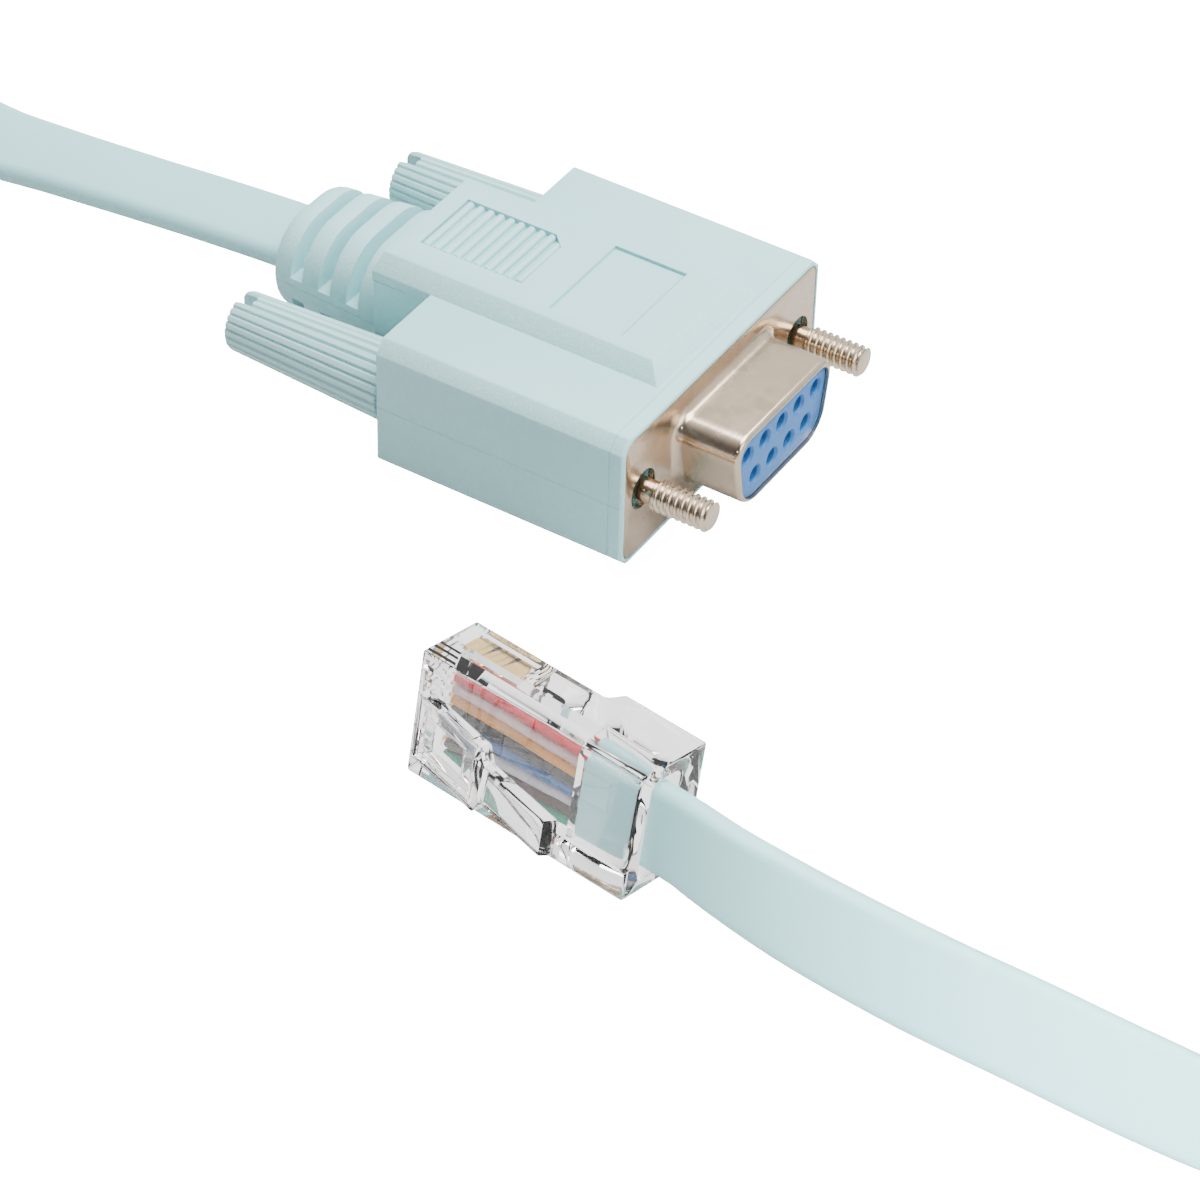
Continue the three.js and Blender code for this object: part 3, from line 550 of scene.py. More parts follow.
# Painted shade: the hood's colour is darkened towards deep blue-green along the parting lines.
h_line_painted_shade = maths(h_tree, "MULTIPLY", h_marks_and_painted_light["Line"], 0.35)
h_relief = put(h_tree, "ShaderNodeBump", {
    "Strength": 0.5, "Distance": 0.00006, "Height": h_marks_and_painted_light["Height"],
    "Normal": h_bump.outputs["Normal"]})
feed(h_tree, h_shader, {"Base Color": blend(h_tree, h_line_painted_shade, h_colour_with_painted_glints, (0.22, 0.40, 0.42, 1)),
                        "Normal": h_relief.outputs["Normal"]})
knob_finish = moulded("knob_vinyl", (0.45, 0.735, 0.75), rough=0.5)
print("hood finish nodes:", len(h_tree.nodes))

# %% [markdown]
# ## The flat cord
#
# The cord is a vinyl jacket over eight fine wires laid side by side, 8.2 mm wide and
# 2.2 mm thick with round edges. It bends easily about its thin side and hardly at all
# about the other, so before it turns a corner it rolls onto its edge. A curve with a flat
# bevel would do for a straight lead. Here rings of points are laid along the route and
# joined, because each point of the route then sets how far the cord has rolled.

# %% The route of the cord
CORD_WIDTH, CORD_THICKNESS = 8.2, 2.2
TABLE = -8.25  # height of the table on the bench
COIL_MIDDLE = (71, 50.6)
COIL_START, COIL_PITCH, COIL_TURNS, COIL_HEIGHT = 42.0, 3.0, 4.25, 4.95
OVER_COIL = 10.75

hood_run = [
    (-39.4, 0, 8.25, 0), (-43.1, 0, 8.25, 0), (-52, 0, 7.6, 0), (-61, 0, 6.7, 0),
    (-70, 0, 5.8, -2), (-78, -0.1, 5.1, -8), (-85.5, 0.3, 4.5, -38), (-92.4, 2.4, 4.1, -78),
    (-97.8, 7.6, 4.1, -90), (-100.2, 14.8, 4.1, -90), (-100.2, 22.4, 4.1, -90),
    (-97.6, 29.8, 4.1, -90), (-92, 36, 4.1, -90), (-83.5, 42, 4.1, -90), (-70, 51.2, 4.1, -90),
    (-55, 62.2, 4.1, -90), (-40, 73.4, 4.1, -90), (-26, 83.4, 4.1, -90), (-13, 90.2, 4.1, -90),
    (1, 92.5, 4.2, -90), (20, 92.5, 4.5, -90), (40, 92.6, 4.8, -90), (57.3, 92.6, 4.95, -90)]
plug_run = [
    (100, 45, 10.75, -180), (99.9, 36, 10.75, -180), (99.5, 27, 10.75, -180), (99.1, 18, 10.75, -180),
    (98.9, 9, 10.75, -175), (98.8, 0, 9.1, -146), (98.5, -9, 6.4, -114), (97.8, -18, 4.5, -92),
    (95.7, -28.5, 4.1, -90), (90.1, -37.8, 4.1, -87), (82, -43.4, 4.05, -78), (72.5, -45.5, 3.8, -64),
    (64, -45.6, 3.6, -56), (55, -45.4, 3.6, -54), (45, -45.4, 3.8, -57), (35, -45.4, 4.7, -66),
    (28, -45.3, 5.9, -76)]

PLUG_EXIT, PLUG_HEIGHT, PLUG_LENGTH = (21.6, -44.6), 6.585, 22.5
PLUG_YAW, PLUG_LEAN = -8, 10  # in degrees
along = math.radians(PLUG_YAW)
for beyond in (2.5, 0.3, -3.0, -6.4):
    plug_run.append((PLUG_EXIT[0] + beyond * math.cos(along), PLUG_EXIT[1] + beyond * math.sin(along),
                     PLUG_HEIGHT, PLUG_LEAN - 90))

STEPS_A_TURN = 24
coil = []
for i in range(int(COIL_TURNS * STEPS_A_TURN) + 1):
    turns = i / STEPS_A_TURN
    angle = math.radians(90) - 2 * math.pi * turns
    radius = COIL_START - COIL_PITCH * turns
    last = max(0.0, (turns - (COIL_TURNS - 0.25)) / 0.25)  # from 0 to 1 in the last quarter
    rise = min(1.0, last / 0.55)
    twist = max(0.0, (last - 0.45) / 0.55)
    coil.append((COIL_MIDDLE[0] + radius * math.cos(angle), COIL_MIDDLE[1] + radius * math.sin(angle),
                 COIL_HEIGHT + (OVER_COIL - COIL_HEIGHT) * rise * rise * (3 - 2 * rise),
                 -90 - 90 * twist * twist * (3 - 2 * twist)))
route = hood_run + coil + plug_run
print("route points:", len(route))


# %% A smooth line through the route
STEPS_A_GAP, RING_SPACING = 24, 1.9


def through(points, spacing):
    """Points at an even spacing on a smooth line through points, each with its roll."""
    corners = [Vector((x, y, height + TABLE)) for x, y, height, _ in points]
    rolls = [roll for *_, roll in points]
    ends = [corners[0] * 2 - corners[1], *corners, corners[-1] * 2 - corners[-2]]
    dense = []
    for i in range(len(corners) - 1):
        p = ends[i:i + 4]
        gaps = [max((p[k + 1] - p[k]).length ** 0.5, 1e-6) for k in range(3)]
        out = ((p[1] - p[0]) / gaps[0] - (p[2] - p[0]) / (gaps[0] + gaps[1])
               + (p[2] - p[1]) / gaps[1]) * gaps[1]
        into = ((p[2] - p[1]) / gaps[1] - (p[3] - p[1]) / (gaps[1] + gaps[2])
                + (p[3] - p[2]) / gaps[2]) * gaps[1]
        for step in range(STEPS_A_GAP):
            t = step / STEPS_A_GAP
            place = ((2 * t ** 3 - 3 * t ** 2 + 1) * p[1] + (t ** 3 - 2 * t ** 2 + t) * out
                     + (-2 * t ** 3 + 3 * t ** 2) * p[2] + (t ** 3 - t ** 2) * into)
            dense.append((place, rolls[i] + (rolls[i + 1] - rolls[i]) * t))
    dense.append((corners[-1], rolls[-1]))
    walked = [0.0]
    for (a, _), (b, _) in zip(dense, dense[1:]):
        walked.append(walked[-1] + (b - a).length)
    count = round(walked[-1] / spacing)
    line, k = [], 0
    for i in range(count + 1):
        goal = walked[-1] * i / count
        while k < len(walked) - 2 and walked[k + 1] < goal:
            k += 1
        share = (goal - walked[k]) / max(walked[k + 1] - walked[k], 1e-9)
        line.append((dense[k][0].lerp(dense[k + 1][0], share),
                     dense[k][1] + (dense[k + 1][1] - dense[k][1]) * share))
    return line, walked[-1]


line, cord_length = through(route, RING_SPACING)
print("cord length in mm:", round(cord_length, 1), "rings:", len(line))

# %% Rings joined into the cord
END_POINTS = 9
END_RADIUS = CORD_THICKNESS / 2
section = []
for side in (1, -1):
    for i in range(END_POINTS):
        angle = (i / (END_POINTS - 1) - 0.5) * math.pi + (0 if side > 0 else math.pi)
        section.append((side * (CORD_WIDTH - CORD_THICKNESS) / 2 + END_RADIUS * math.cos(angle),
                        END_RADIUS * math.sin(angle)))
rings = []
for i, (middle, roll) in enumerate(line):
    ahead = (line[min(i + 1, len(line) - 1)][0] - line[max(i - 1, 0)][0]).normalized()
    level = Vector((0, 0, 1)).cross(ahead).normalized()
    above = ahead.cross(level)
    turn = math.radians(roll)
    wide = level * math.cos(turn) + above * math.sin(turn)
    thin = above * math.cos(turn) - level * math.sin(turn)
    rings.append([middle + wide * u + thin * v for u, v in section])
around = len(section)
corners = [p for ring in rings for p in ring]
faces = []
for r in range(len(rings) - 1):
    for k in range(around):
        this, following = r * around + k, r * around + (k + 1) % around
        faces.append([this, following, following + around, this + around])
faces += [list(range(around))[::-1], [(len(rings) - 1) * around + k for k in range(around)]]
PATTERN_LENGTH = 8  # millimetres of cord to one repeat of its map
cord_mesh = bpy.data.meshes.new("flat_cord")
cord_mesh.from_pydata(corners, [], faces)
along_cord = cord_mesh.uv_layers.new(name="along_cord")
for polygon in cord_mesh.polygons:
    for loop in polygon.loop_indices:
        corner = cord_mesh.loops[loop].vertex_index
        across = corner % around
        at_seam = around - 1 in [v % around for v in polygon.vertices]
        if len(polygon.vertices) == 4 and across == 0 and at_seam:
            across = around
        along_cord.data[loop].uv = (cord_length / PATTERN_LENGTH * (corner // around) / len(rings),
                                    across / around)
flat_cord = bpy.data.objects.new("flat_cord", cord_mesh)
bpy.context.collection.objects.link(flat_cord)
closed(flat_cord)
fit(flat_cord, cord_finish, "cable", "cord_jacket", smooth=60)
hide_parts("cord_hood_run", "cord_coil", "cord_plug_run", "plug_jacket")

# %% [markdown]
# ## The hood
#
# The hood is one vinyl moulding over the connector: a wide block with chamfered edges, a
# narrower neck between the thumbscrews, a raised pad above and below, and the strain
# relief. It could be cut from one big block. It is easier to keep the edges crisp and even
# when each form is made and rounded alone, and the forms are joined afterwards.

# %% Block, neck and pads
HOOD_HALF, HOOD_HIGH, HOOD_BACK, NECK_BACK = 15.95, 6.75, -24.57, -30.6
hood_block = block("hood_moulding", (HOOD_BACK, -HOOD_HALF, -HOOD_HIGH), (0, HOOD_HALF, HOOD_HIGH))
edit(hood_block)
bevel(1.2, 1, lengthwise)
bevel(0.28, 3, lambda at, along: at.x > -0.01)
done()
soften(hood_block, 0.22, 2)

neck = block("neck", (NECK_BACK, -7.6, -HOOD_HIGH), (-12.0, 7.6, HOOD_HIGH))
soften(neck, 0.15, 2)

PAD_LONG, PAD_WIDE, PAD_RISE = 28.8, 15.6, 1.5


def pad(name, side):
    """The raised pad with its wide bevel at the front and sides, above or below."""
    made = block(name, (NECK_BACK, -PAD_WIDE / 2, 0), (NECK_BACK + PAD_LONG, PAD_WIDE / 2, PAD_RISE))
    edit(made)
    pick("FACE", lambda at, facing: facing.z > 0.9)
    bpy.ops.transform.resize(value=((PAD_LONG - 1.8) / PAD_LONG, (PAD_WIDE - 2.8) / PAD_WIDE, 1))
    bpy.ops.transform.translate(value=(-0.5, 0, 0))
    pick("FACE", lambda at, facing: facing.z < -0.9)
    extrude(0, 0, -1.0)
    done()
    soften(made, 0.12, 2)
    only(made)
    made.location = (0, 0, side * HOOD_HIGH)
    made.rotation_euler = (0 if side > 0 else math.pi, 0, 0)
    return named(name)


hood_body = combine(hood_block, neck, pad("pad_above", 1), pad("pad_below", -1), how="UNION")
print("hood so far, faces:", len(hood_body.data.polygons))

# %% [markdown]
# ### The strain relief
#
# Behind the neck the hood ends in a strain relief: a rounded, slightly tapered grip with
# deep slots across its top and bottom, so that it can bend with the cord. A round bar
# could be flattened for it. A block whose long edges are rounded far over keeps the flat
# sides that it has at mid height, and its slots are cut round a core, as in the mould.

# %% Strain relief
RELIEF_BACK, RELIEF_WIDE, RELIEF_HIGH = -42.8, 13.6, 11.6
END_WIDE, END_HIGH = 12.0, 9.6  # the relief is smaller where the cord comes out
relief = block("relief", (RELIEF_BACK, -RELIEF_WIDE / 2, -RELIEF_HIGH / 2),
               (NECK_BACK + 1, RELIEF_WIDE / 2, RELIEF_HIGH / 2))
edit(relief)
pick("FACE", rear)
bpy.ops.transform.resize(value=(1, END_WIDE / RELIEF_WIDE, END_HIGH / RELIEF_HIGH))
bevel(4.7, 10, lengthwise)
bevel(1.3, 5, lambda at, along: at.x < RELIEF_BACK + 0.1)
done()

core = block("core", (-43.5, -4.5, -1.75), (-29.0, 4.5, 1.75))
edit(core)
bevel(1.6, 6, lengthwise)
done()

SLOT_WIDTH, SLOT_STEP, FIRST_SLOT = 1.3, 3.1, 33.6
slots = []
for i in range(3):
    middle = -(FIRST_SLOT + SLOT_STEP * i)
    for side, inner in ((1, 0.8), (-1, 1.5)):
        low, high = sorted((side * inner, side * 8.0))
        slots.append(block("slot", (middle - SLOT_WIDTH / 2, -9, low),
                           (middle + SLOT_WIDTH / 2, 9, high)))
slot_tool = combine(slots[0], *slots[1:], how="UNION")
combine(slot_tool, core)
combine(relief, slot_tool)
soften(relief, 0.16, 2, angle=40)

MOUTH_GAP = 0.15  # between the cord and the relief, all round
half_wide, half_high = CORD_WIDTH / 2 + MOUTH_GAP, CORD_THICKNESS / 2 + MOUTH_GAP
cord_mouth = block("cord_mouth", (-44, -half_wide, -half_high), (-39.6, half_wide, half_high))
edit(cord_mouth)
bevel(1.2, 6, lengthwise)
done()
combine(relief, cord_mouth)
combine(hood_body, relief, how="UNION")
print("with the relief, faces:", len(hood_body.data.polygons))

# %% [markdown]
# ### Panel, grip and openings
#
# The top pad carries a shallow square panel and a finger grip of ten rounded ribs in a
# pocket with one corner cut off. Each rib could be raised from the surface, but a mould
# maker would cut a pocket and leave the ribs standing, and so it is done here. The ribs
# are one shape, made once and copied. The front has the recess for the metal flange and
# a bore for each screw.

# %% Panel and grip
PAD_TOP = HOOD_HIGH + PAD_RISE
PANEL_DEPTH, GRIP_DEPTH, LINE_DEPTH = 0.22, 0.5, 0.36
panel = block("panel", (-14.25, -5.3, PAD_TOP - PANEL_DEPTH), (-6.95, 5.3, PAD_TOP + 1))
edit(panel)
pick("FACE", lambda at, facing: facing.z < -0.9)
bpy.ops.transform.resize(value=(0.985, 0.99, 1))
done()

grip = block("grip_pocket", (-28.35, -3.75, PAD_TOP - GRIP_DEPTH), (-17.95, 3.75, PAD_TOP + 1))
edit(grip)
bevel(1.3, 1, lambda at, along: abs(along.z) > 0.9 and at.x > -20 and at.y > 0)
done()
outline = block("outline", (-14.2, -5.25, PAD_TOP - LINE_DEPTH), (-7.0, 5.25, PAD_TOP - 0.1))
combine(outline, block("inner", (-14.0, -5.07, PAD_TOP - 1), (-7.2, 5.07, PAD_TOP + 1)))
combine(hood_body, panel, outline, grip)

rib = rod("rib", 0.37, -3.55, 3.55, sides=16)
rib.data.transform(Matrix.Rotation(math.pi / 2, 4, "Z"))
edit(rib)
pick("FACE", lambda at, facing: abs(facing.y) > 0.9)
bpy.ops.mesh.inset(thickness=0.12, depth=0.12)
done()
RIB_COUNT, RIB_STEP, FIRST_RIB = 10, 1.05, 18.45
ribs = []
for i in range(RIB_COUNT):
    length, aside = (0.88, -0.35) if i == 0 else (1.0, 0.0)  # the first one clears the cut corner
    ribs.append(copied(rib, "rib_%d" % i, (-(FIRST_RIB + RIB_STEP * i), aside, PAD_TOP - 0.37),
                       Matrix.Diagonal((1, length, 1, 1))))
bpy.data.objects.remove(rib)
combine(hood_body, *ribs, how="UNION")
print("with the grip, faces:", len(hood_body.data.polygons))

# %% Recess and bores
SCREW_OUT, SCREW_BORE = 12.495, 1.85  # from the middle to each screw, and the bore's radius
FLANGE_HALF, FLANGE_HIGH, SEAT_GAP = 15.35, 6.2, 0.07  # half sizes, and the gap round them
seat_half, seat_high = FLANGE_HALF + SEAT_GAP, FLANGE_HIGH + SEAT_GAP
recess = block("recess", (-0.75, -seat_half, -seat_high), (1, seat_half, seat_high))
edit(recess)
bevel(1.25, 6, lengthwise)
done()
bores = [rod("bore", SCREW_BORE, -26, 1, y=side * SCREW_OUT) for side in (-1, 1)]
pocket = block("pocket", (-4.3, -7.8, -3.6), (1, 7.8, 3.6))
combine(hood_body, recess, pocket, *bores)
closed(hood_body)
print("hood faces:", len(hood_body.data.polygons))
fit(hood_body, hood_finish, "cable", "hood_vinyl")
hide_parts("hood")

# %% [markdown]
# ## The metal shell
#
# The shell is drawn from one sheet of steel and plated with nickel: a flat flange, and a
# D-shaped wall that rises from it in a wide fillet and turns in at its lip. The D keeps
# the plug from going in upside down. It could be lofted from drawn outlines. Here it
# starts as a block that is narrowed towards the bottom and rounded, and then its front
# face is inset and raised in small steps, which draws the metal as the press does.

# %% A D-shaped block
D_HALF, D_HIGH, D_CORNER = 8.15, 3.95, 2.5  # half width at the top, half height, corner radius
D_SLOPE = math.radians(10)  # of its two sides
SHEET = 0.5


def d_block(name, start, end, grow):
    """A block with the connector's D outline, larger on every side by grow."""
    half_high = D_HIGH + grow
    slope = math.tan(D_SLOPE)
    middle = D_HALF - D_HIGH * slope + grow / math.cos(D_SLOPE)
    made = block(name, (start, -middle, -half_high), (end, middle, half_high))
    edit(made)
    for side in (1, -1):
        pick("VERT", lambda at, facing: at.z * side > 0)
        share = (middle + side * half_high * slope) / middle
        bpy.ops.transform.resize(value=(1, share, 1))
    bevel(D_CORNER + grow, 8, lengthwise)
    done()
    return made


def quarter_steps(radius, count, hollow):
    """Inset and rise of each step along a quarter round, hollow or bulging."""
    turn = [math.pi / 2 * i / count for i in range(count + 1)]
    if hollow:  # starts flat and ends upright
        points = [(radius * math.sin(t), radius * (1 - math.cos(t))) for t in turn]
    else:  # starts upright and ends flat
        points = [(radius * (1 - math.cos(t)), radius * math.sin(t)) for t in turn]
    return [(b[0] - a[0], b[1] - a[1]) for a, b in zip(points, points[1:])]


def raise_front(steps):
    """Insets the selected front face and moves it forward, step by step."""
    for inward, forward in steps:
        bpy.ops.mesh.inset(thickness=max(inward, 0.0001), depth=forward)


FLARE, LIP, SHELL_REACH = 0.9, 0.45, 6.2
shell = d_block("dsub_shell_wall", -SHEET, 0.0, FLARE)
edit(shell)
pick("FACE", front)
raise_front(quarter_steps(FLARE, 6, True))
extrude(SHELL_REACH - FLARE - LIP, 0, 0)
raise_front(quarter_steps(LIP, 5, False))
done()

flange = block("flange", (-SHEET, -FLANGE_HALF, -FLANGE_HIGH), (0, FLANGE_HALF, FLANGE_HIGH))
edit(flange)
bevel(1.2, 6, lengthwise)
bevel(0.12, 2, lambda at, along: at.x > -0.01)
done()
combine(shell, flange, how="UNION")
combine(shell, d_block("inside", -1, 7, -SHEET))
combine(shell, *[rod("hole", SCREW_BORE, -1, 1, y=side * SCREW_OUT) for side in (-1, 1)])
closed(shell)
fit(shell, nickel_finish, "cable", "nickel", smooth=32)
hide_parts("dsub_shell")

# %% [markdown]
# ## The blue insulator
#
# The insulator fills the shell and holds nine socket contacts, five above four. Each hole
# opens in a small funnel that guides the other connector's pin. One tool, a funnel with
# a straight drill behind it, is made once, copied to the nine places and cut out.

# %% Insulator and its holes
insulator = d_block("dsub_insulator_block", -4.0, 5.9, -0.52)
soften(insulator, 0.12, 2)
HOLE_RADIUS, HOLE_PITCH, ROW_HALF = 0.78, 2.77, 1.42
drill = rod("drill", HOLE_RADIUS, -3.0, 6.0, sides=32)
edit(drill)
pick("FACE", front)
bpy.ops.transform.translate(value=(-0.35, 0, 0))
extrude(0.28, 0, 0)
bpy.ops.transform.resize(value=(1, 1.26, 1.26))
extrude(0.4, 0, 0)
done()
places = [((i - 2) * HOLE_PITCH, ROW_HALF) for i in range(5)]
places += [((i - 1.5) * HOLE_PITCH, -ROW_HALF) for i in range(4)]
drills = [copied(drill, "drill_%d" % i, (0, y, z)) for i, (y, z) in enumerate(places)]
bpy.data.objects.remove(drill)
combine(insulator, *drills)
closed(insulator)
fit(insulator, blue_finish, "cable", "blue_insulator")
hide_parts("dsub_insulator")
print("holes:", len(places))

# %% [markdown]
# ## Thumbscrews
#
# A long 4-40 screw runs through the hood on each side, with a tapered plastic knob moulded
# on its rear. The knob is a round bar whose side is drawn in along every fourth edge, so
# that flutes are left for the fingers. The thread could be a row of plain rings. A real
# one climbs, so one turn of its profile is wound up by a screw modifier, and a blunt
# chamfered rod then trims it to length.

# %% Knob
KNOB_START, KNOB_END, KNOB_RADIUS = -24.97, -41.25, 3.42
FLUTES, FLUTE_DEPTH, KNOB_TAPER = 24, 0.915, 5.6 / 6.9  # the last two as shares of the radius
knob = rod("knob", KNOB_RADIUS, KNOB_END, KNOB_START, sides=4 * FLUTES)
edit(knob)


def flute(at, facing):
    """True at the corners that sit in the bottom of a flute."""
    return round(math.degrees(math.atan2(at.z, at.y)) / (90 / FLUTES) + 400) % 4 == 0


pick("VERT", flute)
bpy.ops.transform.resize(value=(1, FLUTE_DEPTH, FLUTE_DEPTH), center_override=(0, 0, 0))
pick("FACE", rear)
bpy.ops.transform.resize(value=(1, KNOB_TAPER, KNOB_TAPER), center_override=(0, 0, 0))
bpy.ops.transform.translate(value=(0.6, 0, 0))
for back, size in ((0.28, 0.97), (0.20, 0.92), (0.12, 0.84)):
    extrude(-back, 0, 0)
    bpy.ops.transform.resize(value=(1, size, size), center_override=(0, 0, 0))
pick("FACE", front)
extrude(0.1, 0, 0)
bpy.ops.transform.resize(value=(1, 0.96, 0.96), center_override=(0, 0, 0))
done()
combine(knob, block("driver_slot", (KNOB_END - 1, -0.65, -4), (KNOB_END + 1.8, 0.65, 4)))
combine(knob, rod("knob_bore", 1.6, -38, KNOB_START + 1))
closed(knob)
print("knob faces:", len(knob.data.polygons))

# %% Threaded screw
PITCH, CREST, ROOT = 0.635, 1.42, 1.14
only()
bpy.ops.mesh.primitive_plane_add(size=1)
thread = named("thread")
edit(thread)
bpy.ops.mesh.select_all(action="SELECT")
bpy.ops.mesh.delete(type="VERT")
done()
profile = [(0.0, ROOT), (0.12, ROOT + 0.02), (0.24, CREST - 0.06), (0.30, CREST),
           (0.38, CREST), (0.44, CREST - 0.06), (0.56, ROOT + 0.02), (PITCH, ROOT)]
thread.data.from_pydata([(x + 0.75, 0, r) for x, r in profile],
                        [(i, i + 1) for i in range(len(profile) - 1)], [])
only(thread)
wind = thread.modifiers.new("wind", "SCREW")
wind.axis, wind.screw_offset, wind.iterations = "X", PITCH, 10
wind.steps = wind.render_steps = 32
wind.use_merge_vertices = True
bpy.ops.object.modifier_apply(modifier=wind.name)
edit(thread)
bpy.ops.mesh.select_all(action="SELECT")
bpy.ops.mesh.remove_doubles(threshold=0.002)
bpy.ops.mesh.select_all(action="DESELECT")
bpy.ops.mesh.select_mode(type="EDGE")
bpy.ops.mesh.select_non_manifold(extend=False)
bpy.ops.mesh.edge_face_add()
bpy.ops.mesh.select_all(action="SELECT")
bpy.ops.mesh.quads_convert_to_tris()
bpy.ops.mesh.normals_make_consistent(inside=False)
done()
blunt = rod("blunt", CREST + 0.05, 1.25, 6.8)
edit(blunt)
bevel(0.42, 2, lambda at, along: at.x > 6.7)
bevel(0.3, 1, lambda at, along: at.x < 1.3)
done()
print("thread faces:", len(thread.data.polygons))
combine(thread, blunt, how="INTERSECT")
print("trimmed thread faces:", len(thread.data.polygons))
combine(thread, rod("shank", 1.05, -0.9, 1.5), rod("long_shank", CREST, -37.6, -0.9), how="UNION")
closed(thread)

# %% One screw on each side
for side, name in ((-1, "near"), (1, "far")):
    across = Matrix.Translation((0, side * SCREW_OUT, 0))
    body = name + "_thumbscrew"
    this_knob = fit(copied(knob, name + "_knob"), knob_finish, body, "hood_vinyl", across, smooth=30)
    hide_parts(name + "_screw_knob")
    screw = fit(copied(thread, name + "_screw"), screw_finish, body, "screw_nickel", across, smooth=40)
    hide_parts(name + "_screw_shaft")
for spare in (knob, thread):
    bpy.data.objects.remove(spare)

# %% [markdown]
# ## The clear plug
#
# The plug is moulded in clear polycarbonate round an empty space: a flat channel for the
# eight wires, a wider mouth for the cord's jacket, eight slots for the gold blades and a
# pocket whose bar clamps the cord. A real plug is one moulding, and its mould is a row of
# steel cores. So the body is made solid first, in edit mode, and every hollow is then cut
# with its own core. The plug has a frame of its own: its nose at x = 0, its cord end at
# x = 22.5, the latch towards -Y and its width along Z. It lies on its side on the table,
# so one matrix sets every piece of it in its place.

# %% The plug's place and its solid body
ON_PLUG = (Matrix.Translation((*PLUG_EXIT, PLUG_HEIGHT + TABLE))
           @ Matrix.Rotation(math.radians(PLUG_YAW), 4, "Z")
           @ Matrix.Rotation(math.radians(-PLUG_LEAN), 4, "X")
           @ Matrix.Translation((-PLUG_LENGTH, 0, 0)))
PLUG_HALF, PLUG_HALF_HIGH = 5.84, 3.3
STEP_START, STEP_END, STEP_RISE = 13.6, 14.4, 1.5


def cut_across(*places):
    """Cuts the open piece across X at each place, and leaves it in one."""
    for x in places:
        bpy.ops.mesh.select_all(action="SELECT")
        bpy.ops.mesh.bisect(plane_co=(x, 0, 0), plane_no=(1, 0, 0))


plug_body = block("plug_moulding", (0, -PLUG_HALF_HIGH, -PLUG_HALF),
                  (PLUG_LENGTH, PLUG_HALF_HIGH, PLUG_HALF))
edit(plug_body)
cut_across(STEP_START, STEP_END)
pick("FACE", lambda at, facing: facing.y > 0.9 and at.x > STEP_END)
bpy.ops.transform.translate(value=(0, STEP_RISE, 0))
done()
soften(plug_body, 0.3, 3)
print("plug body, faces before the cores:", len(plug_body.data.polygons))

# %% Cores for the jacket, the wires, the blades and the clamp pocket
jacket_core = block("jacket_core", (15.6, -1.35, -4.35), (24, 1.35, 4.35))
edit(jacket_core)
cut_across(20.9)
pick("FACE", front)
bpy.ops.transform.resize(value=(1, 1.6, 1.16), center_override=(24, 0, 0))
bevel(0.7, 4, lambda at, along: abs(along.x) > 0.8)
done()
wire_core = block("wire_core", (2.1, -0.62, -4.31), (16.6, 0.62, 4.31))
edit(wire_core)
pick("FACE", rear)
bpy.ops.mesh.inset(thickness=0.12, depth=0.25)
done()
WAY_PITCH = 1.02
WAY_HEIGHTS = [(3.5 - i) * WAY_PITCH for i in range(8)]
blade_core = block("blade_core", (-1, 0, -0.24), (6.9, 5, 0.24))
blade_cores = [copied(blade_core, "blade_core", (0, 0, height)) for height in WAY_HEIGHTS]
bpy.data.objects.remove(blade_core)
clamp_core = block("clamp_core", (7.6, 1.4, -4.3), (12.8, 6, 4.3))
edit(clamp_core)
pick("FACE", lambda at, facing: facing.y < -0.9)
bpy.ops.transform.resize(value=(0.62, 1, 0.93))
bpy.ops.transform.translate(value=(-0.7, 0, 0))
bevel(0.5, 3, lambda at, along: abs(along.x) < 0.9 and abs(along.z) < 0.5)
done()
nose_core = block("nose_core", (-1, 1.57, -4.43), (0.81, 5, 4.43))
combine(plug_body, jacket_core, wire_core, *blade_cores, clamp_core, nose_core)
closed(plug_body)
print("plug body, faces with its hollows:", len(plug_body.data.polygons))
fit(plug_body, clear_finish, "cable", "clear_plastic", ON_PLUG, smooth=30)
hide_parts("plug_body")

# %% [markdown]
# ### The latch
#
# The latch is a springy tongue that grows from the nose and holds the plug in its socket
# until its tail is pressed. It is widest at its root, where it has a window, and steps in
# at the two shoulders that catch in the socket. An outline could be drawn and thickened.
# A plate that is cut across and narrowed behind the shoulders gives the same shape. An
# inset then sinks the middle of its wide part, so that a rim stands round the window.

# %% Latch
LATCH_LENGTH, LATCH_HALF, TAIL_HALF = 17.2, 3.1, 1.7
latch = block("plug_tongue", (0, -1.1, -LATCH_HALF), (LATCH_LENGTH, 0, LATCH_HALF))
edit(latch)
cut_across(8.2, 9.0, 15.6)
pick("VERT", lambda at, facing: at.x > 8.9)
bpy.ops.transform.resize(value=(1, 1, TAIL_HALF / LATCH_HALF), center_override=(0, 0, 0))
pick("VERT", lambda at, facing: at.x > LATCH_LENGTH - 0.1 and at.y < -1)
bpy.ops.transform.translate(value=(-0.5, 0, 0))
pick("FACE", lambda at, facing: facing.y < -0.9 and at.x < 8.0)
bpy.ops.mesh.inset(thickness=0.75, depth=0)
bpy.ops.mesh.inset(thickness=0.25, depth=-0.3)
done()
combine(latch, block("window", (2.2, -3, -1.3), (5.9, 1, 1.3)))
soften(latch, 0.1, 2)
closed(latch)
LATCH_ON_PLUG = Matrix.Translation((1.6, -3.6, 0)) @ Matrix.Rotation(math.radians(-13), 4, "Z")
fit(latch, clear_finish, "latch", "clear_plastic", ON_PLUG @ LATCH_ON_PLUG, smooth=30)
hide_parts("plug_latch")

# %% [markdown]
# ### Wires and blades
#
# Inside the plug the jacket is stripped off and the eight wires lie flat, fanned out a
# little to the spacing of the blades. When the plug is crimped, each blade is pushed down
# until its points bite through the insulation of its wire. One blade is shaped and copied.
# Each wire is a short bar that is extruded on, step by step, along its own slight bend.

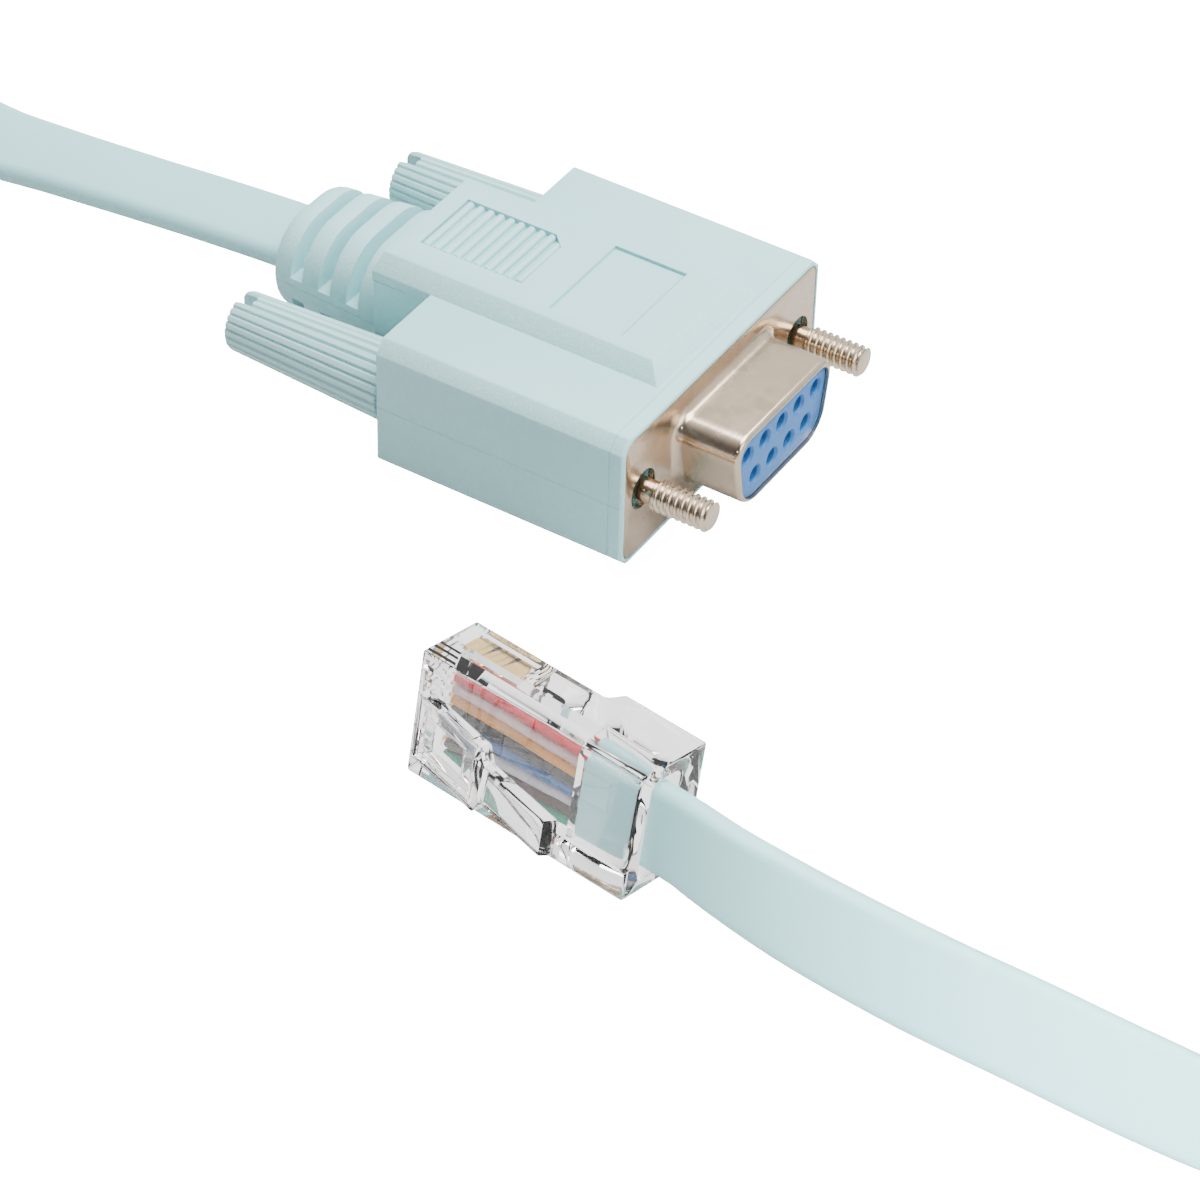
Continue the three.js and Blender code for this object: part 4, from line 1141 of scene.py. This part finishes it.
# %% Wires
for i, (name, height) in enumerate(zip(WIRE_COLOURS, WAY_HEIGHTS)):
    wire = rod("plug_lead_%d" % (i + 1), 0.43, 2.4, 6.6, z=height, sides=20)
    edit(wire)
    pick("FACE", front)
    for step, share in ((2.0, 0.1), (2.6, 0.3), (2.6, 0.35), (2.4, 0.25)):
        wobble = 0.05 * math.sin(7.3 * i + 2.1 * step + 9 * share)
        extrude(step, wobble, -0.13 * height * share + 0.4 * wobble)
    bevel(0.08, 2, lambda at, along: at.x < 2.41)
    done()
    closed(wire)
    fit(wire, wire_finishes[name], "cable", name, ON_PLUG, smooth=60)
    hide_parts("plug_wire_%d" % (i + 1))

# %% Blades
blade = block("blade", (1.0, 0.35, -0.175), (6.6, 2.85, 0.175))
edit(blade)
cut_across(2.2, 2.8, 3.4, 4.2, 4.8, 5.4)
BESIDE_POINTS = (1.0, 2.2, 3.4, 4.2, 5.4, 6.6)  # these corners are raised, so two points stay
pick("VERT", lambda at, facing: at.y < 0.4 and min(abs(at.x - x) for x in BESIDE_POINTS) < 0.01)
bpy.ops.transform.translate(value=(0, 0.55, 0))
bevel(0.55, 4, lambda at, along: abs(along.z) > 0.9 and at.y > 2.8)
done()
soften(blade, 0.04, 1, angle=50)
closed(blade)
for i, height in enumerate(WAY_HEIGHTS):
    crimped = copied(blade, "plug_blade_%d" % (i + 1), (0, 0, height))
    fit(crimped, gold_finish, "cable", "gold", ON_PLUG)
    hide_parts("plug_contact_%d" % (i + 1))
bpy.data.objects.remove(blade)

# %% [markdown]
# ## The tie round the coil
#
# The spare length is put away in a coil that stands on its edge, held by a woven tie. The
# tie is a flat band that is bent round all the turns and closed on itself. It could be
# swept along a path like the cord. As the band is straight between its rounded corners,
# a block with rounded edges and a hollow cut through it does the same with less.

# %% Tie
TIE_NEAR, TIE_FAR, TIE_TOP, BAND = 27.05, 43.7, 1.65, 0.5
tie = block("woven_tie", (TIE_NEAR, 47.1, TABLE), (TIE_FAR, 54.1, TIE_TOP))
edit(tie)
bevel(1.3, 6, lambda at, along: abs(along.y) > 0.9)
done()
hollow = block("hollow", (TIE_NEAR + BAND, 46, TABLE + BAND), (TIE_FAR - BAND, 55, TIE_TOP - BAND))
edit(hollow)
bevel(0.9, 6, lambda at, along: abs(along.y) > 0.9)
done()
combine(tie, hollow)
soften(tie, 0.15, 2, angle=50)
closed(tie)
fit(tie, tie_finish, "cable", "tie")
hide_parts("coil_tie")

# %% [markdown]
# ## The contacts in the holes
#
# Behind each hole of the insulator sits a sprung sleeve that grips the other connector's
# pin. It could be modelled like the rest, but only a glint of it shows deep in its hole.
# So the nine packed sleeves keep their shape, and are only given a dark metal with patches of stain, its
# darkness painted shade for their place deep in the holes.

# %% Finish of the imported contacts
contacts = [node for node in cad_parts.values() if not node.hide_render]
for contact in contacts:
    contact.data.materials.clear()
    contact.data.materials.append(socket_painted_shade_finish)
print("contacts as packed:", len(contacts))
